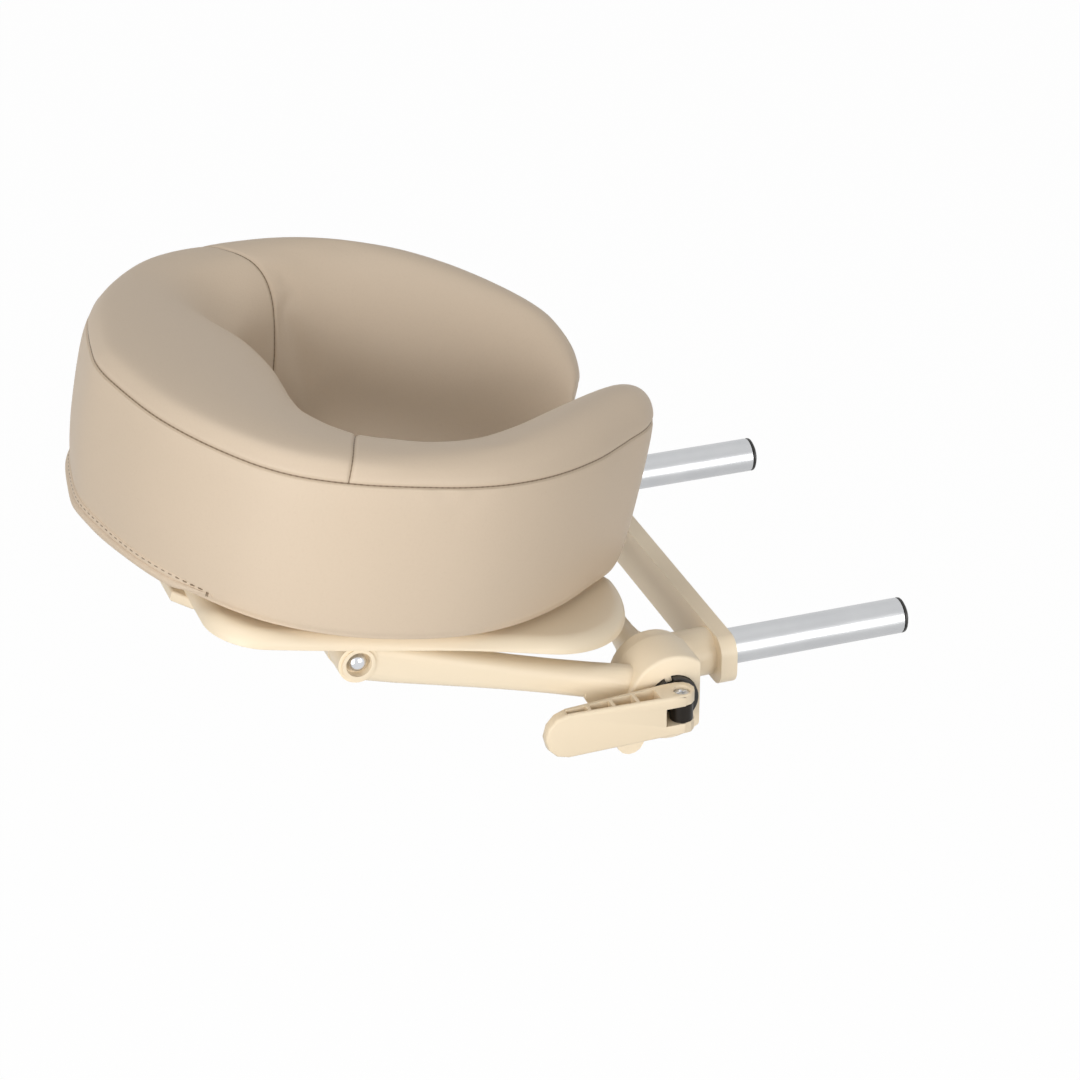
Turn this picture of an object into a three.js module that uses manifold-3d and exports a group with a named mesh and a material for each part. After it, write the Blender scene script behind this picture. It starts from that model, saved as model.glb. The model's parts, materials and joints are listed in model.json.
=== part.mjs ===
// Face cradle: a horseshoe cushion on a moulded platform, carried by two swing arms that a cam
// clamp holds at the hubs of a base with two mounting posts.
// Millimetres, +Z up. +X is the mounting side, and the flat back of the base is the plane X = 0.
import * as THREE from 'three';
import { mergeVertices } from 'three/addons/utils/BufferGeometryUtils.js';
import Module from 'manifold-3d';

const wasm = await Module();
wasm.setup();

// ---- Clearances and mesh counts ----
const seatGap = 0.3; // between faces that touch on the real object
const boreClearance = 0.35; // round a shaft in its bore
const cutOverrun = 3; // how far a cutter passes the face that it opens
const hubSides = 40;
const tubeSides = 24;
const smallSides = 16;
const arcSteps = 3; // an arc gets twice as many sides
const rollSteps = 3;
const flareSteps = 5;

// ---- Base: two posts, their sockets, the cross tube and the flat back bar ----
const postSpacing = 203.2;
const postDiameter = 19.05;
const postWall = 2;
const postReach = 100; // beyond the flat back
const postCapLip = 2.5;
const postCapStem = 12;
const hubSetback = 44.5; // from the hub axis to the flat back
const socketWall = 3.1;
const socketFloor = 6; // past the hub axis, where the post bottoms
const barThickness = 9;
const barHeight = 27;
const barOverhang = 6; // past the sockets
const crossTubeDiameter = 13.6;
const flangeRadius = 22;
const flangeRim = 7; // straight rim of the flange before the flare
const flareLength = 46;
const frictionDiscThickness = 2.2;
const frictionDiscRadius = 20.5;

// ---- Arms ----
const armLength = 172; // hub axis to pivot bolt
const armRise = 17; // degrees above level at rest
const hubRadius = 24;
const hubLength = 24;
const hubFlat = 14.8; // from the hub axis to the flat on the mounting side
const hubEdgeRadius = 1.8;
const armTubeDiameter = 23;
const armWaist = 17; // height of the tube at its thinnest
const armEndHeight = 20.5;
const armEndThickness = 16;
const armRootWidth = 17;
const waistShare = 0.9; // share of the length over which the tube dips
const flattenShare = 0.85; // share of the length over which the tube flattens
const roundPower = 2; // section of the tube at the hub, 2 is an ellipse
const squarePower = 4.2; // section of the tube at the pivot, more is squarer
const boltRingRadius = 8.5;
const boltRingHeight = 1;
const boltRecessRadius = 6.6;
const boltRecessDepth = 4;
const lobeRadius = 7.5; // stop lobe under the hub
const lobeReach = 29; // lobe centre below the arm's centre line
const lobeShift = 13; // lobe centre ahead of the hub axis
const gussetRoot = 46; // where the gusset leaves the tube, ahead of the hub axis
const gussetWidth = 15;
const gussetWeb = 3.5;
const gussetRim = 2.6;
const gussetWindow = 5;

// ---- Cam clamp ----
const rodDiameter = 8;
const cupRadius = 13.4;
const cupDepth = 2.6;
const saddleProud = 3; // how far the saddle stands out of its cup
const saddleKeyWidth = 3.4;
const saddleKeyDepth = 3;
const saddleKeyTurn = 13; // degrees ahead of straight up
const camRadius = 7;
const camOffset = 1.2; // pin axis to the cam's centre
const leverOuterWall = 6.2; // pin axis to the lever's outer face
const leverReach = 75; // pin axis to the tip
const leverTipHeight = 25;
const leverHeadHeight = 22.5;
const leverTipThickness = 5.4;
const leverEdgeRadius = 1.6;
const leverWall = 2;
const leverFloor = 4; // web left between the upper and lower pockets
const leverPockets = 4;
const leverRib = 1.9;
const leverPocketStart = 13; // pin axis to the first pocket
const leverSlotReach = 10.4; // pin axis to the end of the rod eye's slot
const leverPocketEnd = 63; // pin axis to the last pocket's end
const eyeHeight = 9.4;
const eyeRadius = 6;
const pinDiameter = 6;
const pinHeadRecess = 1.8;
const pinHeadThickness = 1.8;
const pinHeadDiameter = 9;
const farWasherThickness = 3.4;
const nutAcrossFlats = 13;
const nutThickness = 6.5;
const rodThreadShow = 5;

// ---- Pivot bolts ----
const boltDiameter = 8;
const boltHeadRadius = 4.7;
const boltDomeHeight = 2.6;
const boltHeadDepth = 2;
const bracketThickness = 15;
const bracketRadius = 11;
const bracketFootLength = 34;
const boltNutRadius = 6.5;
const boltNutThickness = 6.4;

// ---- Platform ----
const platformTilt = 12.3; // degrees, crown end raised, at rest
const cushionSeatHeight = 19.9; // pivot bolt axis to the cushion's underside
const gripThickness = 1.1; // each layer of the hook-and-loop strips
const gripWidth = 24;
const gripLength = 124;
const gripStart = -30.7; // ahead of the pivot, toward the crown
const gripPlane = 101; // strip's centre line from the middle plane
const deckThickness = 3.5;
const wingRim = 8.2; // height of the rolled rim
const wingRimWall = 2.6;
const wingInnerEdge = 58;
const wingCrownEnd = 75;
const wingBackEnd = 162;
const wingStraightEnd = 98;
const wingCornerRadius = 26;
const wingInnerRadius = 10;
const bridgeThickness = 5.8;
const bridgeFront = 81;
const bridgeDepth = 40;
const bridgeGrip = 30; // how far it reaches under each wing
const bridgeCorner = 9;
const bridgeEdgeRadius = 1.4;
const bridgePadInset = 9; // from the wing's crown end
const bridgePadLength = 20;
const bridgePadWidth = 12;
const screwRadius = 2;
const screwHeadRadius = 4;
const screwHeadHeight = 2.2;

// ---- Cushion ----
const cushionAhead = 20; // pivot bolt axis to the cushion's centre, along the deck
const cushionAside = 9.8; // hand-placed this far to the near side of the middle plane
const cushionTurn = 2.8; // degrees askew on its strips, crown toward the near side
const cushionReach = 138.6; // centre to the crown's seam
const cushionHalfWidth = 143.5;
const seamHeight = 83;
const crownDome = 7; // rise of the top above the seam at the crown
const cheekDome = 24; // the same on the two cheek arms
const domeFullWidth = 70; // arm width from which the dome has its full rise
const creaseDepth = 2.4; // panel seams drawn in across the top
const hemWidth = 5.5;
const hemThickness = 1.8;
const hemLean = 0.6; // how far the hem's lower edge stands out

// Outline of the top seam and of the hole's edge, crown to tip, as shares of the reach
// and of the half width. Near and far halves are mirror images.
const seamOutlineShares = [
  [-1, 0], [-0.975, 0.18], [-0.905, 0.43], [-0.775, 0.66], [-0.585, 0.86], [-0.355, 0.965],
  [-0.12, 1], [0.15, 0.98], [0.405, 0.895], [0.65, 0.75], [0.85, 0.585], [1, 0.45],
  [1.06, 0.35], [1.055, 0.275], [1.01, 0.22],
];
const holeOutlineShares = [
  [-0.29, 0], [-0.3, 0.13], [-0.315, 0.27], [-0.315, 0.4], [-0.255, 0.51], [-0.14, 0.57],
  [0, 0.585], [0.145, 0.555], [0.285, 0.48], [0.425, 0.395], [0.585, 0.31], [0.75, 0.225],
  [0.88, 0.17], [0.955, 0.147], [0.99, 0.17],
];
// Sections of the cushion: share across from the seam to the hole, share of the seam height,
// share of the dome's rise. They run from the middle of the underside round the outer wall.
const crownSectionShares = [
  [0.5, 0, 0], [0.12, 0, 0], [0.06, 0.03, 0], [0.03, 0.1, 0], [0, 0.33, 0], [-0.012, 0.62, 0],
  [-0.008, 0.86, 0], [0.008, 0.975, 0], [0.018, 1, 0.02], [0.035, 1.005, 0.4], [0.1, 1, 0.8],
  [0.25, 1, 1], [0.5, 1, 1], [0.7, 1, 0.95], [0.85, 0.985, 0.7], [0.94, 0.94, 0.3],
  [0.985, 0.8, 0], [1, 0.45, 0], [0.975, 0.08, 0], [0.9, 0, 0],
];
const cheekSectionShares = [
  [0.5, 0, 0], [0.12, 0, 0], [0.06, 0.03, 0], [0.03, 0.1, 0], [0, 0.33, 0], [-0.012, 0.62, 0],
  [-0.008, 0.86, 0], [0.008, 0.975, 0], [0.018, 1, 0.02], [0.05, 1.005, 0.32], [0.12, 1, 0.68],
  [0.23, 1, 0.92], [0.36, 1, 1], [0.5, 0.995, 0.93], [0.64, 0.965, 0.7], [0.78, 0.885, 0.38],
  [0.89, 0.71, 0.12], [0.965, 0.47, 0], [0.99, 0.22, 0], [0.93, 0.03, 0],
];
const creaseShare = 0.36; // where along each half the panel seam lies
const creaseHalfShare = 0.022;
const domeBlendShare = 0.1;
const hemNearShare = 0.218; // how far the hem runs along the near half
const hemFarShare = 0.2;
const hemTaperShare = 0.08; // length over which the hem narrows at its ends
const hemEndShare = 0.35; // width left at its ends
const cushionStationsPerHalf = 28;
const hemSteps = 20;

// ---- Derived places ----
const postRadius = postDiameter / 2;
const postPlane = postSpacing / 2;
const socketRadius = postRadius + socketWall;
const yokeHalf = postPlane + socketRadius;
const hubInner = yokeHalf + seatGap + frictionDiscThickness + seatGap;
const hubOuter = hubInner + hubLength;
const armPlane = (hubInner + hubOuter) / 2;
const rodRadius = rodDiameter / 2;
const rodBore = rodRadius + boreClearance;
const cupFloor = hubOuter - cupDepth;
const saddleRadius = cupRadius - boreClearance;
const saddleFace = hubOuter + saddleProud;
const pinPlane = saddleFace + seatGap + camRadius + camOffset;
const leverOuterFace = pinPlane + leverOuterWall;
const pinRadius = pinDiameter / 2;
const boltRadius = boltDiameter / 2;
const boltBore = boltRadius + boreClearance;
const armEndOuter = armPlane + armEndThickness / 2;
const armEndInner = armPlane - armEndThickness / 2;
const bracketOuter = armEndInner - seatGap;
const bracketInner = bracketOuter - bracketThickness;
const wingOuterEdge = hubOuter; // the platform is as wide as the pair of hubs
const bridgeHalfSpan = wingInnerEdge + bridgeGrip;
const deckTop = cushionSeatHeight - 2 * gripThickness - 3 * seatGap;
const deckUnder = deckTop - deckThickness;
const rimBottom = deckTop - wingRim;
const bridgeTop = rimBottom - seatGap;
const bridgeBottom = bridgeTop - bridgeThickness;
const riseAngle = THREE.MathUtils.degToRad(armRise);
const tiltAngle = THREE.MathUtils.degToRad(platformTilt);
const quarterTurn = Math.PI / 2;

// ---- Materials ----
const paint = (color, roughness, metalness) =>
  new THREE.MeshStandardMaterial({ color, roughness, metalness });
const creamPlastic = () => paint(0xf3e3c2, 0.45, 0);
const blackPlastic = () => paint(0x1b1a19, 0.5, 0);
const tanVinyl = () => paint(0xcbb99f, 0.55, 0);
const zincSteel = () => paint(0xb9bcbf, 0.35, 1);
const blackSteel = () => paint(0x26241f, 0.45, 1);
const chromeSteel = () => paint(0xd8dade, 0.15, 1);
const frictionFibre = () => paint(0x54483c, 0.9, 0);
const gripFabric = () => paint(0x8c7d68, 0.95, 0);

// ---- Solid helpers ----
function signedVolume(positions, indices) {
  let sum = 0;
  const a = new THREE.Vector3();
  const b = new THREE.Vector3();
  const c = new THREE.Vector3();
  for (let i = 0; i < indices.length; i += 3) {
    a.fromArray(positions, 3 * indices[i]);
    b.fromArray(positions, 3 * indices[i + 1]);
    c.fromArray(positions, 3 * indices[i + 2]);
    sum += a.dot(b.cross(c));
  }
  return sum / 6;
}

function solid(geometry) {
  const bare = geometry.clone();
  for (const name of Object.keys(bare.attributes)) {
    if (name !== 'position') bare.deleteAttribute(name);
  }
  const merged = mergeVertices(bare);
  const vertProperties = new Float32Array(merged.attributes.position.array);
  const triVerts = new Uint32Array(merged.index.array);
  if (signedVolume(vertProperties, triVerts) < 0) {
    for (let i = 0; i < triVerts.length; i += 3) {
      const first = triVerts[i];
      triVerts[i] = triVerts[i + 1];
      triVerts[i + 1] = first;
    }
  }
  return new wasm.Manifold(new wasm.Mesh({ numProp: 3, vertProperties, triVerts }));
}

function surface(body) {
  const mesh = body.getMesh();
  const geometry = new THREE.BufferGeometry();
  geometry.setAttribute('position', new THREE.BufferAttribute(new Float32Array(mesh.vertProperties), 3));
  geometry.setIndex(new THREE.BufferAttribute(new Uint32Array(mesh.triVerts), 1));
  geometry.computeVertexNormals();
  return geometry;
}

const joined = (bodies) => bodies.reduce((whole, next) => whole.add(next));
const cut = (body, cutters) => cutters.reduce((whole, next) => whole.subtract(next), body);

// Closed skin over rings that hold the same number of points, with a fan over each end.
function loft(rings) {
  const sides = rings[0].length;
  const positions = rings.flat().flatMap((point) => point.toArray());
  const indices = [];
  for (let r = 0; r + 1 < rings.length; r += 1) {
    for (let s = 0; s < sides; s += 1) {
      const next = (s + 1) % sides;
      const a = r * sides + s;
      const b = r * sides + next;
      const c = (r + 1) * sides + next;
      const d = (r + 1) * sides + s;
      indices.push(a, b, c, a, c, d);
    }
  }
  const ends = [[rings[0], 0, true], [rings.at(-1), (rings.length - 1) * sides, false]];
  for (const [ring, first, flip] of ends) {
    const middle = ring.reduce((sum, point) => sum.add(point), new THREE.Vector3()).divideScalar(sides);
    const hub = positions.length / 3;
    positions.push(...middle.toArray());
    for (let s = 0; s < sides; s += 1) {
      const a = first + s;
      const b = first + ((s + 1) % sides);
      if (flip) indices.push(b, a, hub);
      else indices.push(a, b, hub);
    }
  }
  const geometry = new THREE.BufferGeometry();
  geometry.setAttribute('position', new THREE.Float32BufferAttribute(positions, 3));
  geometry.setIndex(indices);
  return geometry;
}

// Turned piece about the Y axis; profile points are radius and place along Y.
function turned(profile, sides) {
  const points = profile.map(([radius, along]) => new THREE.Vector2(radius, along));
  return new THREE.LatheGeometry(points, sides);
}

// Cylinder along Y between two planes.
function barrel(radius, from, to, sides = tubeSides) {
  const geometry = new THREE.CylinderGeometry(radius, radius, Math.abs(to - from), sides);
  return geometry.translate(0, (from + to) / 2, 0);
}

// Outline in X and Y, extruded along Z between two heights, with rounded edges if asked.
function planProfile(shape, from, to, bevel = 0) {
  const settings = {
    depth: to - from - 2 * bevel,
    curveSegments: arcSteps,
    bevelEnabled: bevel > 0,
    bevelThickness: bevel,
    bevelSize: bevel,
    bevelOffset: -bevel,
    bevelSegments: rollSteps,
  };
  return new THREE.ExtrudeGeometry(shape, settings).translate(0, 0, from + bevel);
}

// Outline in X and Z, extruded along Y between two planes.
function sideProfile(shape, from, to, bevel = 0) {
  return planProfile(shape, -to, -from, bevel).rotateX(quarterTurn);
}

function box(fromX, toX, fromY, toY, fromZ, toZ) {
  const geometry = new THREE.BoxGeometry(toX - fromX, toY - fromY, toZ - fromZ);
  return geometry.translate((fromX + toX) / 2, (fromY + toY) / 2, (fromZ + toZ) / 2);
}

function roundedRectangle(fromX, toX, fromY, toY, radius) {
  const shape = new THREE.Shape();
  shape.moveTo(fromX + radius, fromY);
  shape.absarc(toX - radius, fromY + radius, radius, -quarterTurn, 0, false);
  shape.absarc(toX - radius, toY - radius, radius, 0, quarterTurn, false);
  shape.absarc(fromX + radius, toY - radius, radius, quarterTurn, 2 * quarterTurn, false);
  shape.absarc(fromX + radius, fromY + radius, radius, 2 * quarterTurn, 3 * quarterTurn, false);
  return shape;
}

function named(name, geometry, material) {
  const mesh = new THREE.Mesh(geometry, material);
  mesh.name = name;
  return mesh;
}

// Mirror image of a solid in the middle plane.
const mirrored = (body) => body.mirror([0, 1, 0]);

// ---- Base yoke: flared cross tube, two sockets and the flat back bar ----
function makeYoke() {
  const tubeRadius = crossTubeDiameter / 2;
  const flareStart = yokeHalf - flangeRim - flareLength;
  const half = [[tubeRadius, flareStart]];
  for (let i = 1; i <= flareSteps; i += 1) {
    const share = i / flareSteps;
    half.push([tubeRadius + (flangeRadius - tubeRadius) * share ** 3, flareStart + flareLength * share]);
  }
  half.push([flangeRadius, yokeHalf], [0, yokeHalf]);
  const otherHalf = half.map(([radius, along]) => [radius, -along]).reverse();
  const core = solid(turned([...otherHalf, ...half], hubSides));

  const barEnd = yokeHalf + barOverhang;
  const barShape = roundedRectangle(-barHeight / 2, barHeight / 2, -barEnd, barEnd, barHeight / 3);
  const upended = planProfile(barShape, 0, barThickness).rotateY(quarterTurn);
  const bar = solid(upended.translate(hubSetback - barThickness, 0, 0));

  const pieces = [core, bar];
  const cutters = [solid(barrel(rodBore, -yokeHalf - cutOverrun, yokeHalf + cutOverrun, smallSides))];
  for (const side of [-1, 1]) {
    const placed = (geometry) => solid(geometry.rotateZ(-quarterTurn).translate(0, side * postPlane, 0));
    pieces.push(placed(barrel(socketRadius, 0, hubSetback - barThickness / 2)));
    cutters.push(placed(barrel(postRadius + boreClearance, socketFloor, hubSetback + cutOverrun)));
  }
  return cut(joined(pieces), cutters);
}

function makeFrictionDisc() {
  const from = yokeHalf + seatGap;
  const to = from + frictionDiscThickness;
  const disc = solid(barrel(frictionDiscRadius, from, to, hubSides));
  return disc.subtract(solid(barrel(rodBore, from - cutOverrun, to + cutOverrun, smallSides)));
}

// ---- Arm, drawn for the far side and level, with the hub axis at the origin ----
function armHub() {
  const profile = [[0, hubInner], [hubRadius, hubInner], [hubRadius, hubOuter - hubEdgeRadius]];
  for (let i = 1; i <= rollSteps; i += 1) {
    const turn = (i / rollSteps) * quarterTurn;
    const radius = hubRadius - hubEdgeRadius * (1 - Math.cos(turn));
    profile.push([radius, hubOuter - hubEdgeRadius * (1 - Math.sin(turn))]);
  }
  profile.push([0, hubOuter]);
  return solid(turned(profile, hubSides));
}

// Round at the hub, flatter and squarer toward the pivot, with a dip between them.
function armTube() {
  const rings = [];
  const ringCount = 8;
  for (let r = 0; r <= ringCount; r += 1) {
    const share = r / ringCount;
    const plain = armTubeDiameter + (armEndHeight - armTubeDiameter) * share;
    const dip = Math.sin(Math.PI * Math.min(1, share / waistShare));
    const height = plain - (plain - armWaist) * dip;
    const width = armRootWidth + (armEndThickness - armRootWidth) * Math.min(1, share / flattenShare);
    const power = roundPower + (squarePower - roundPower) * share ** 2;
    const ring = [];
    for (let s = 0; s < tubeSides; s += 1) {
      const turn = (2 * Math.PI * s) / tubeSides;
      const across = Math.sign(Math.cos(turn)) * Math.abs(Math.cos(turn)) ** (2 / power);
      const up = Math.sign(Math.sin(turn)) * Math.abs(Math.sin(turn)) ** (2 / power);
      ring.push(new THREE.Vector3(-armLength * share, armPlane + (across * width) / 2, (up * height) / 2));
    }
    rings.push(ring);
  }
  return solid(loft(rings));
}

// Stop lobe and its web under the hub, with a pocket on each side and two small windows.
function armGusset() {
  const from = armPlane - gussetWidth / 2;
  const to = armPlane + gussetWidth / 2;
  const slope = Math.atan2(gussetRoot - lobeShift, lobeReach - armWaist / 2);
  const outline = new THREE.Shape();
  outline.moveTo(-lobeShift, 0);
  outline.lineTo(-gussetRoot, 0);
  outline.lineTo(-gussetRoot, -armWaist / 2 + gussetRim / 2);
  outline.absarc(-lobeShift, -lobeReach, lobeRadius, Math.PI + slope / 3, 2 * Math.PI, false);
  outline.lineTo(-lobeShift + lobeRadius, 0);

  const pocketTop = -(armTubeDiameter + gussetRim) / 2;
  const pocketFront = -gussetRoot + armWaist / 2;
  const pocket = new THREE.Shape();
  pocket.moveTo(-lobeShift, -lobeReach + lobeRadius - gussetRim);
  pocket.lineTo(-lobeShift - lobeRadius + gussetRim, -lobeReach + gussetRim);
  pocket.lineTo(pocketFront, pocketTop);
  pocket.lineTo(-hubRadius, pocketTop);
  const pocketDepth = (gussetWidth - gussetWeb) / 2;
  const cutters = [
    solid(sideProfile(pocket, to - pocketDepth, to + cutOverrun)),
    solid(sideProfile(pocket, from - cutOverrun, from + pocketDepth)),
  ];
  for (const place of [0, gussetWindow + gussetRim / 2]) {
    const left = pocketFront + gussetWindow / 2 + place;
    const right = left + gussetWindow;
    const window = roundedRectangle(left, right, pocketTop - gussetWindow, pocketTop, gussetWindow / 5);
    cutters.push(solid(sideProfile(window, from - cutOverrun, to + cutOverrun)));
  }
  return { body: solid(sideProfile(outline, from, to)), cutters };
}

// Cutter round the saddle's seat key: a bar across the cup's wall, upright at rest.
function keyBar(halfWidth, depth, from, to) {
  const turn = THREE.MathUtils.degToRad(saddleKeyTurn) + riseAngle;
  const bar = box(-halfWidth, halfWidth, from, to, cupRadius - depth, cupRadius + cutOverrun);
  return solid(bar.rotateY(-turn));
}

function makeArm() {
  const gusset = armGusset();
  const atPivot = (geometry) => solid(geometry.translate(-armLength, 0, 0));
  const end = atPivot(barrel(armEndHeight / 2, armEndInner, armEndOuter, hubSides));
  const ring = atPivot(barrel(boltRingRadius, armPlane, armEndOuter + boltRingHeight));
  const body = joined([armHub(), armTube(), end, ring, gusset.body]);

  const cup = solid(barrel(cupRadius, cupFloor, hubOuter + cutOverrun, hubSides));
  const key = keyBar(saddleKeyWidth / 2, saddleKeyDepth, cupFloor - cutOverrun, hubOuter);
  const inside = hubInner - cutOverrun;
  const outside = hubOuter + cutOverrun;
  const flat = box(hubFlat, hubRadius + cutOverrun, inside, outside, -hubRadius, hubRadius);
  const cutters = [
    ...gusset.cutters,
    cup.subtract(key),
    solid(barrel(rodBore, inside, outside, smallSides)),
    atPivot(barrel(boltRecessRadius, armEndOuter - boltRecessDepth, armEndOuter + cutOverrun, tubeSides)),
    atPivot(barrel(boltBore, armEndInner - cutOverrun, armEndOuter + cutOverrun, smallSides)),
    solid(flat.rotateY(-riseAngle)),
  ];
  return cut(body, cutters);
}

// ---- Saddle that the cam bears on, and the washer that mirrors it on the far hub ----
function keyed(profile, to) {
  const from = cupFloor + seatGap;
  const halfWidth = saddleKeyWidth / 2 + boreClearance;
  const slot = keyBar(halfWidth, saddleKeyDepth + boreClearance, from - cutOverrun, to + cutOverrun);
  const bore = solid(barrel(rodBore, from - cutOverrun, to + cutOverrun, smallSides));
  return cut(solid(turned(profile, hubSides)), [slot, bore]);
}

function makeSaddle() {
  const edge = boreClearance;
  const profile = [[0, cupFloor + seatGap], [saddleRadius, cupFloor + seatGap]];
  profile.push([saddleRadius, saddleFace - edge], [saddleRadius - edge, saddleFace], [0, saddleFace]);
  return keyed(profile, saddleFace);
}

const washerFace = cupFloor + seatGap + farWasherThickness;
function makeFarWasher() {
  const profile = [[0, cupFloor + seatGap], [saddleRadius, cupFloor + seatGap]];
  profile.push([saddleRadius, washerFace], [0, washerFace]);
  return keyed(profile, washerFace);
}

// ---- Clamp rod with its eye, and the parts on it ----
const nutFrom = washerFace + seatGap;
const nutTo = nutFrom + nutThickness;
const upright = (radius, height, sides) =>
  new THREE.CylinderGeometry(radius, radius, height, sides).rotateX(quarterTurn);

function makeRod() {
  const shank = solid(barrel(rodRadius, -pinPlane, nutTo + rodThreadShow, smallSides));
  const eye = solid(upright(eyeRadius, eyeHeight, tubeSides).translate(0, -pinPlane, 0));
  const bore = upright(pinRadius + boreClearance, 2 * eyeHeight, smallSides).translate(0, -pinPlane, 0);
  return shank.add(eye).subtract(solid(bore));
}

function makeNut() {
  const body = solid(barrel(nutAcrossFlats / Math.sqrt(3), nutFrom, nutTo, 6));
  return body.subtract(solid(barrel(rodBore, nutFrom - cutOverrun, nutTo + cutOverrun, smallSides)));
}

const pinTop = leverHeadHeight / 2 - pinHeadRecess;
function makePin() {
  const underHead = pinTop - pinHeadThickness;
  const headRadius = pinHeadDiameter / 2 - boreClearance;
  const profile = [[0, -pinTop], [pinRadius, -pinTop], [pinRadius, underHead], [headRadius, underHead]];
  profile.push([headRadius, pinTop], [0, pinTop]);
  return turned(profile, smallSides).rotateX(quarterTurn).translate(0, -pinPlane, 0);
}

// ---- Cam lever: eccentric fork head and a thinning blade, ribbed pockets above and below ----
function makeLever() {
  const camCentre = -pinPlane + camOffset;
  const camFace = camCentre + camRadius;
  const outer = -leverOuterFace;
  const tipInner = outer + leverTipThickness;
  const tall = leverTipHeight;
  const plan = new THREE.Shape();
  plan.moveTo(0, camFace);
  plan.lineTo(-camRadius, camFace);
  plan.lineTo(-leverReach, tipInner);
  plan.lineTo(-leverReach, outer);
  plan.lineTo(0, outer);
  plan.absarc(0, camCentre, camRadius, -quarterTurn, quarterTurn, false);

  const tipRadius = leverTipHeight / 2;
  const headEnd = camRadius + cutOverrun;
  const side = new THREE.Shape();
  side.moveTo(headEnd, -leverHeadHeight / 2);
  side.lineTo(headEnd, leverHeadHeight / 2);
  side.lineTo(-camRadius, leverHeadHeight / 2);
  side.lineTo(-leverReach + tipRadius, tipRadius);
  side.absarc(-leverReach + tipRadius, 0, tipRadius, quarterTurn, 3 * quarterTurn, false);
  side.lineTo(-camRadius, -leverHeadHeight / 2);
  const past = camFace + 2 * leverEdgeRadius + cutOverrun;
  const sideBody = solid(sideProfile(side, outer, past, leverEdgeRadius));
  const body = solid(planProfile(plan, -tall / 2, tall / 2)).intersect(sideBody);

  const thinning = (tipInner - camFace) / (leverReach - camRadius);
  const innerAt = (along) => camFace + thinning * (along - camRadius);
  const pitch = (leverPocketEnd - leverPocketStart + leverRib) / leverPockets;
  const cutters = [];
  for (let p = 0; p < leverPockets; p += 1) {
    const from = leverPocketStart + pitch * p;
    const to = from + pitch - leverRib;
    const pocket = new THREE.Shape();
    pocket.moveTo(-from, outer + leverWall);
    pocket.lineTo(-from, innerAt(from) - leverWall);
    pocket.lineTo(-to, innerAt(to) - leverWall);
    pocket.lineTo(-to, outer + leverWall);
    cutters.push(solid(planProfile(pocket, leverFloor / 2, tall)));
    cutters.push(solid(planProfile(pocket, -tall, -leverFloor / 2)));
  }
  const slotHalf = eyeHeight / 2 + boreClearance;
  cutters.push(solid(box(-leverSlotReach, 2 * camRadius, 2 * outer, 0, -slotHalf, slotHalf)));
  cutters.push(solid(upright(pinRadius + boreClearance, 2 * tall, smallSides).translate(0, -pinPlane, 0)));
  const seatFrom = pinTop - pinHeadThickness - seatGap;
  const seat = upright(pinHeadDiameter / 2, tall, smallSides).translate(0, -pinPlane, seatFrom + tall / 2);
  cutters.push(solid(seat));
  return cut(body, cutters);
}

// ---- Posts and their end plugs ----
const postStart = socketFloor + seatGap;
const postEnd = hubSetback + postReach;
function makePost() {
  const inside = postRadius - postWall;
  const profile = [[inside, postStart], [postRadius, postStart], [postRadius, postEnd], [inside, postEnd]];
  return turned([...profile, profile[0]], tubeSides).rotateZ(-quarterTurn);
}

function makePostCap() {
  const from = postEnd + seatGap;
  const inside = postRadius - postWall - boreClearance;
  const profile = [[0, from - postCapStem], [inside, from - postCapStem], [inside, from]];
  profile.push([postRadius, from], [postRadius, from + postCapLip / 2], [inside, from + postCapLip], [0, from + postCapLip]);
  return turned(profile, tubeSides).rotateZ(-quarterTurn);
}

// ---- Pivot bolt: domed head in the arm's recess, shank, nut behind the bracket ----
function makeBolt() {
  const seat = armEndOuter - boltRecessDepth + seatGap;
  const tail = bracketInner - seatGap - boltNutThickness - seatGap;
  const profile = [[0, tail], [boltRadius, tail], [boltRadius, seat], [boltHeadRadius, seat]];
  for (let i = 0; i <= rollSteps; i += 1) {
    const turn = (i / rollSteps) * quarterTurn;
    profile.push([boltHeadRadius * Math.cos(turn), seat + boltHeadDepth + boltDomeHeight * Math.sin(turn)]);
  }
  return solid(turned(profile, smallSides));
}

function makeBoltNut() {
  const to = bracketInner - seatGap;
  const from = to - boltNutThickness;
  const body = solid(barrel(boltNutRadius, from, to, 6));
  return body.subtract(solid(barrel(boltBore, from - cutOverrun, to + cutOverrun, smallSides)));
}

// ---- Platform wing: a tongue with a rolled rim, drawn for the far side ----
function wingOutline(inset) {
  const corner = wingCornerRadius - inset;
  const small = wingInnerRadius - inset;
  const inner = wingInnerEdge + inset;
  const outer = wingOuterEdge - inset;
  const crown = -wingCrownEnd + inset;
  const back = wingBackEnd - inset;
  const shape = new THREE.Shape();
  shape.moveTo(crown + small, inner);
  shape.absarc(back - small, inner + small, small, -quarterTurn, 0, false);
  const wideHalf = outer - inner - small;
  const longHalf = back - wingStraightEnd;
  shape.absellipse(wingStraightEnd, inner + small, longHalf, wideHalf, 0, quarterTurn, false, 0);
  shape.absarc(crown + corner, outer - corner, corner, quarterTurn, 2 * quarterTurn, false);
  shape.absarc(crown + small, inner + small, small, 2 * quarterTurn, 3 * quarterTurn, false);
  return shape;
}

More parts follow.
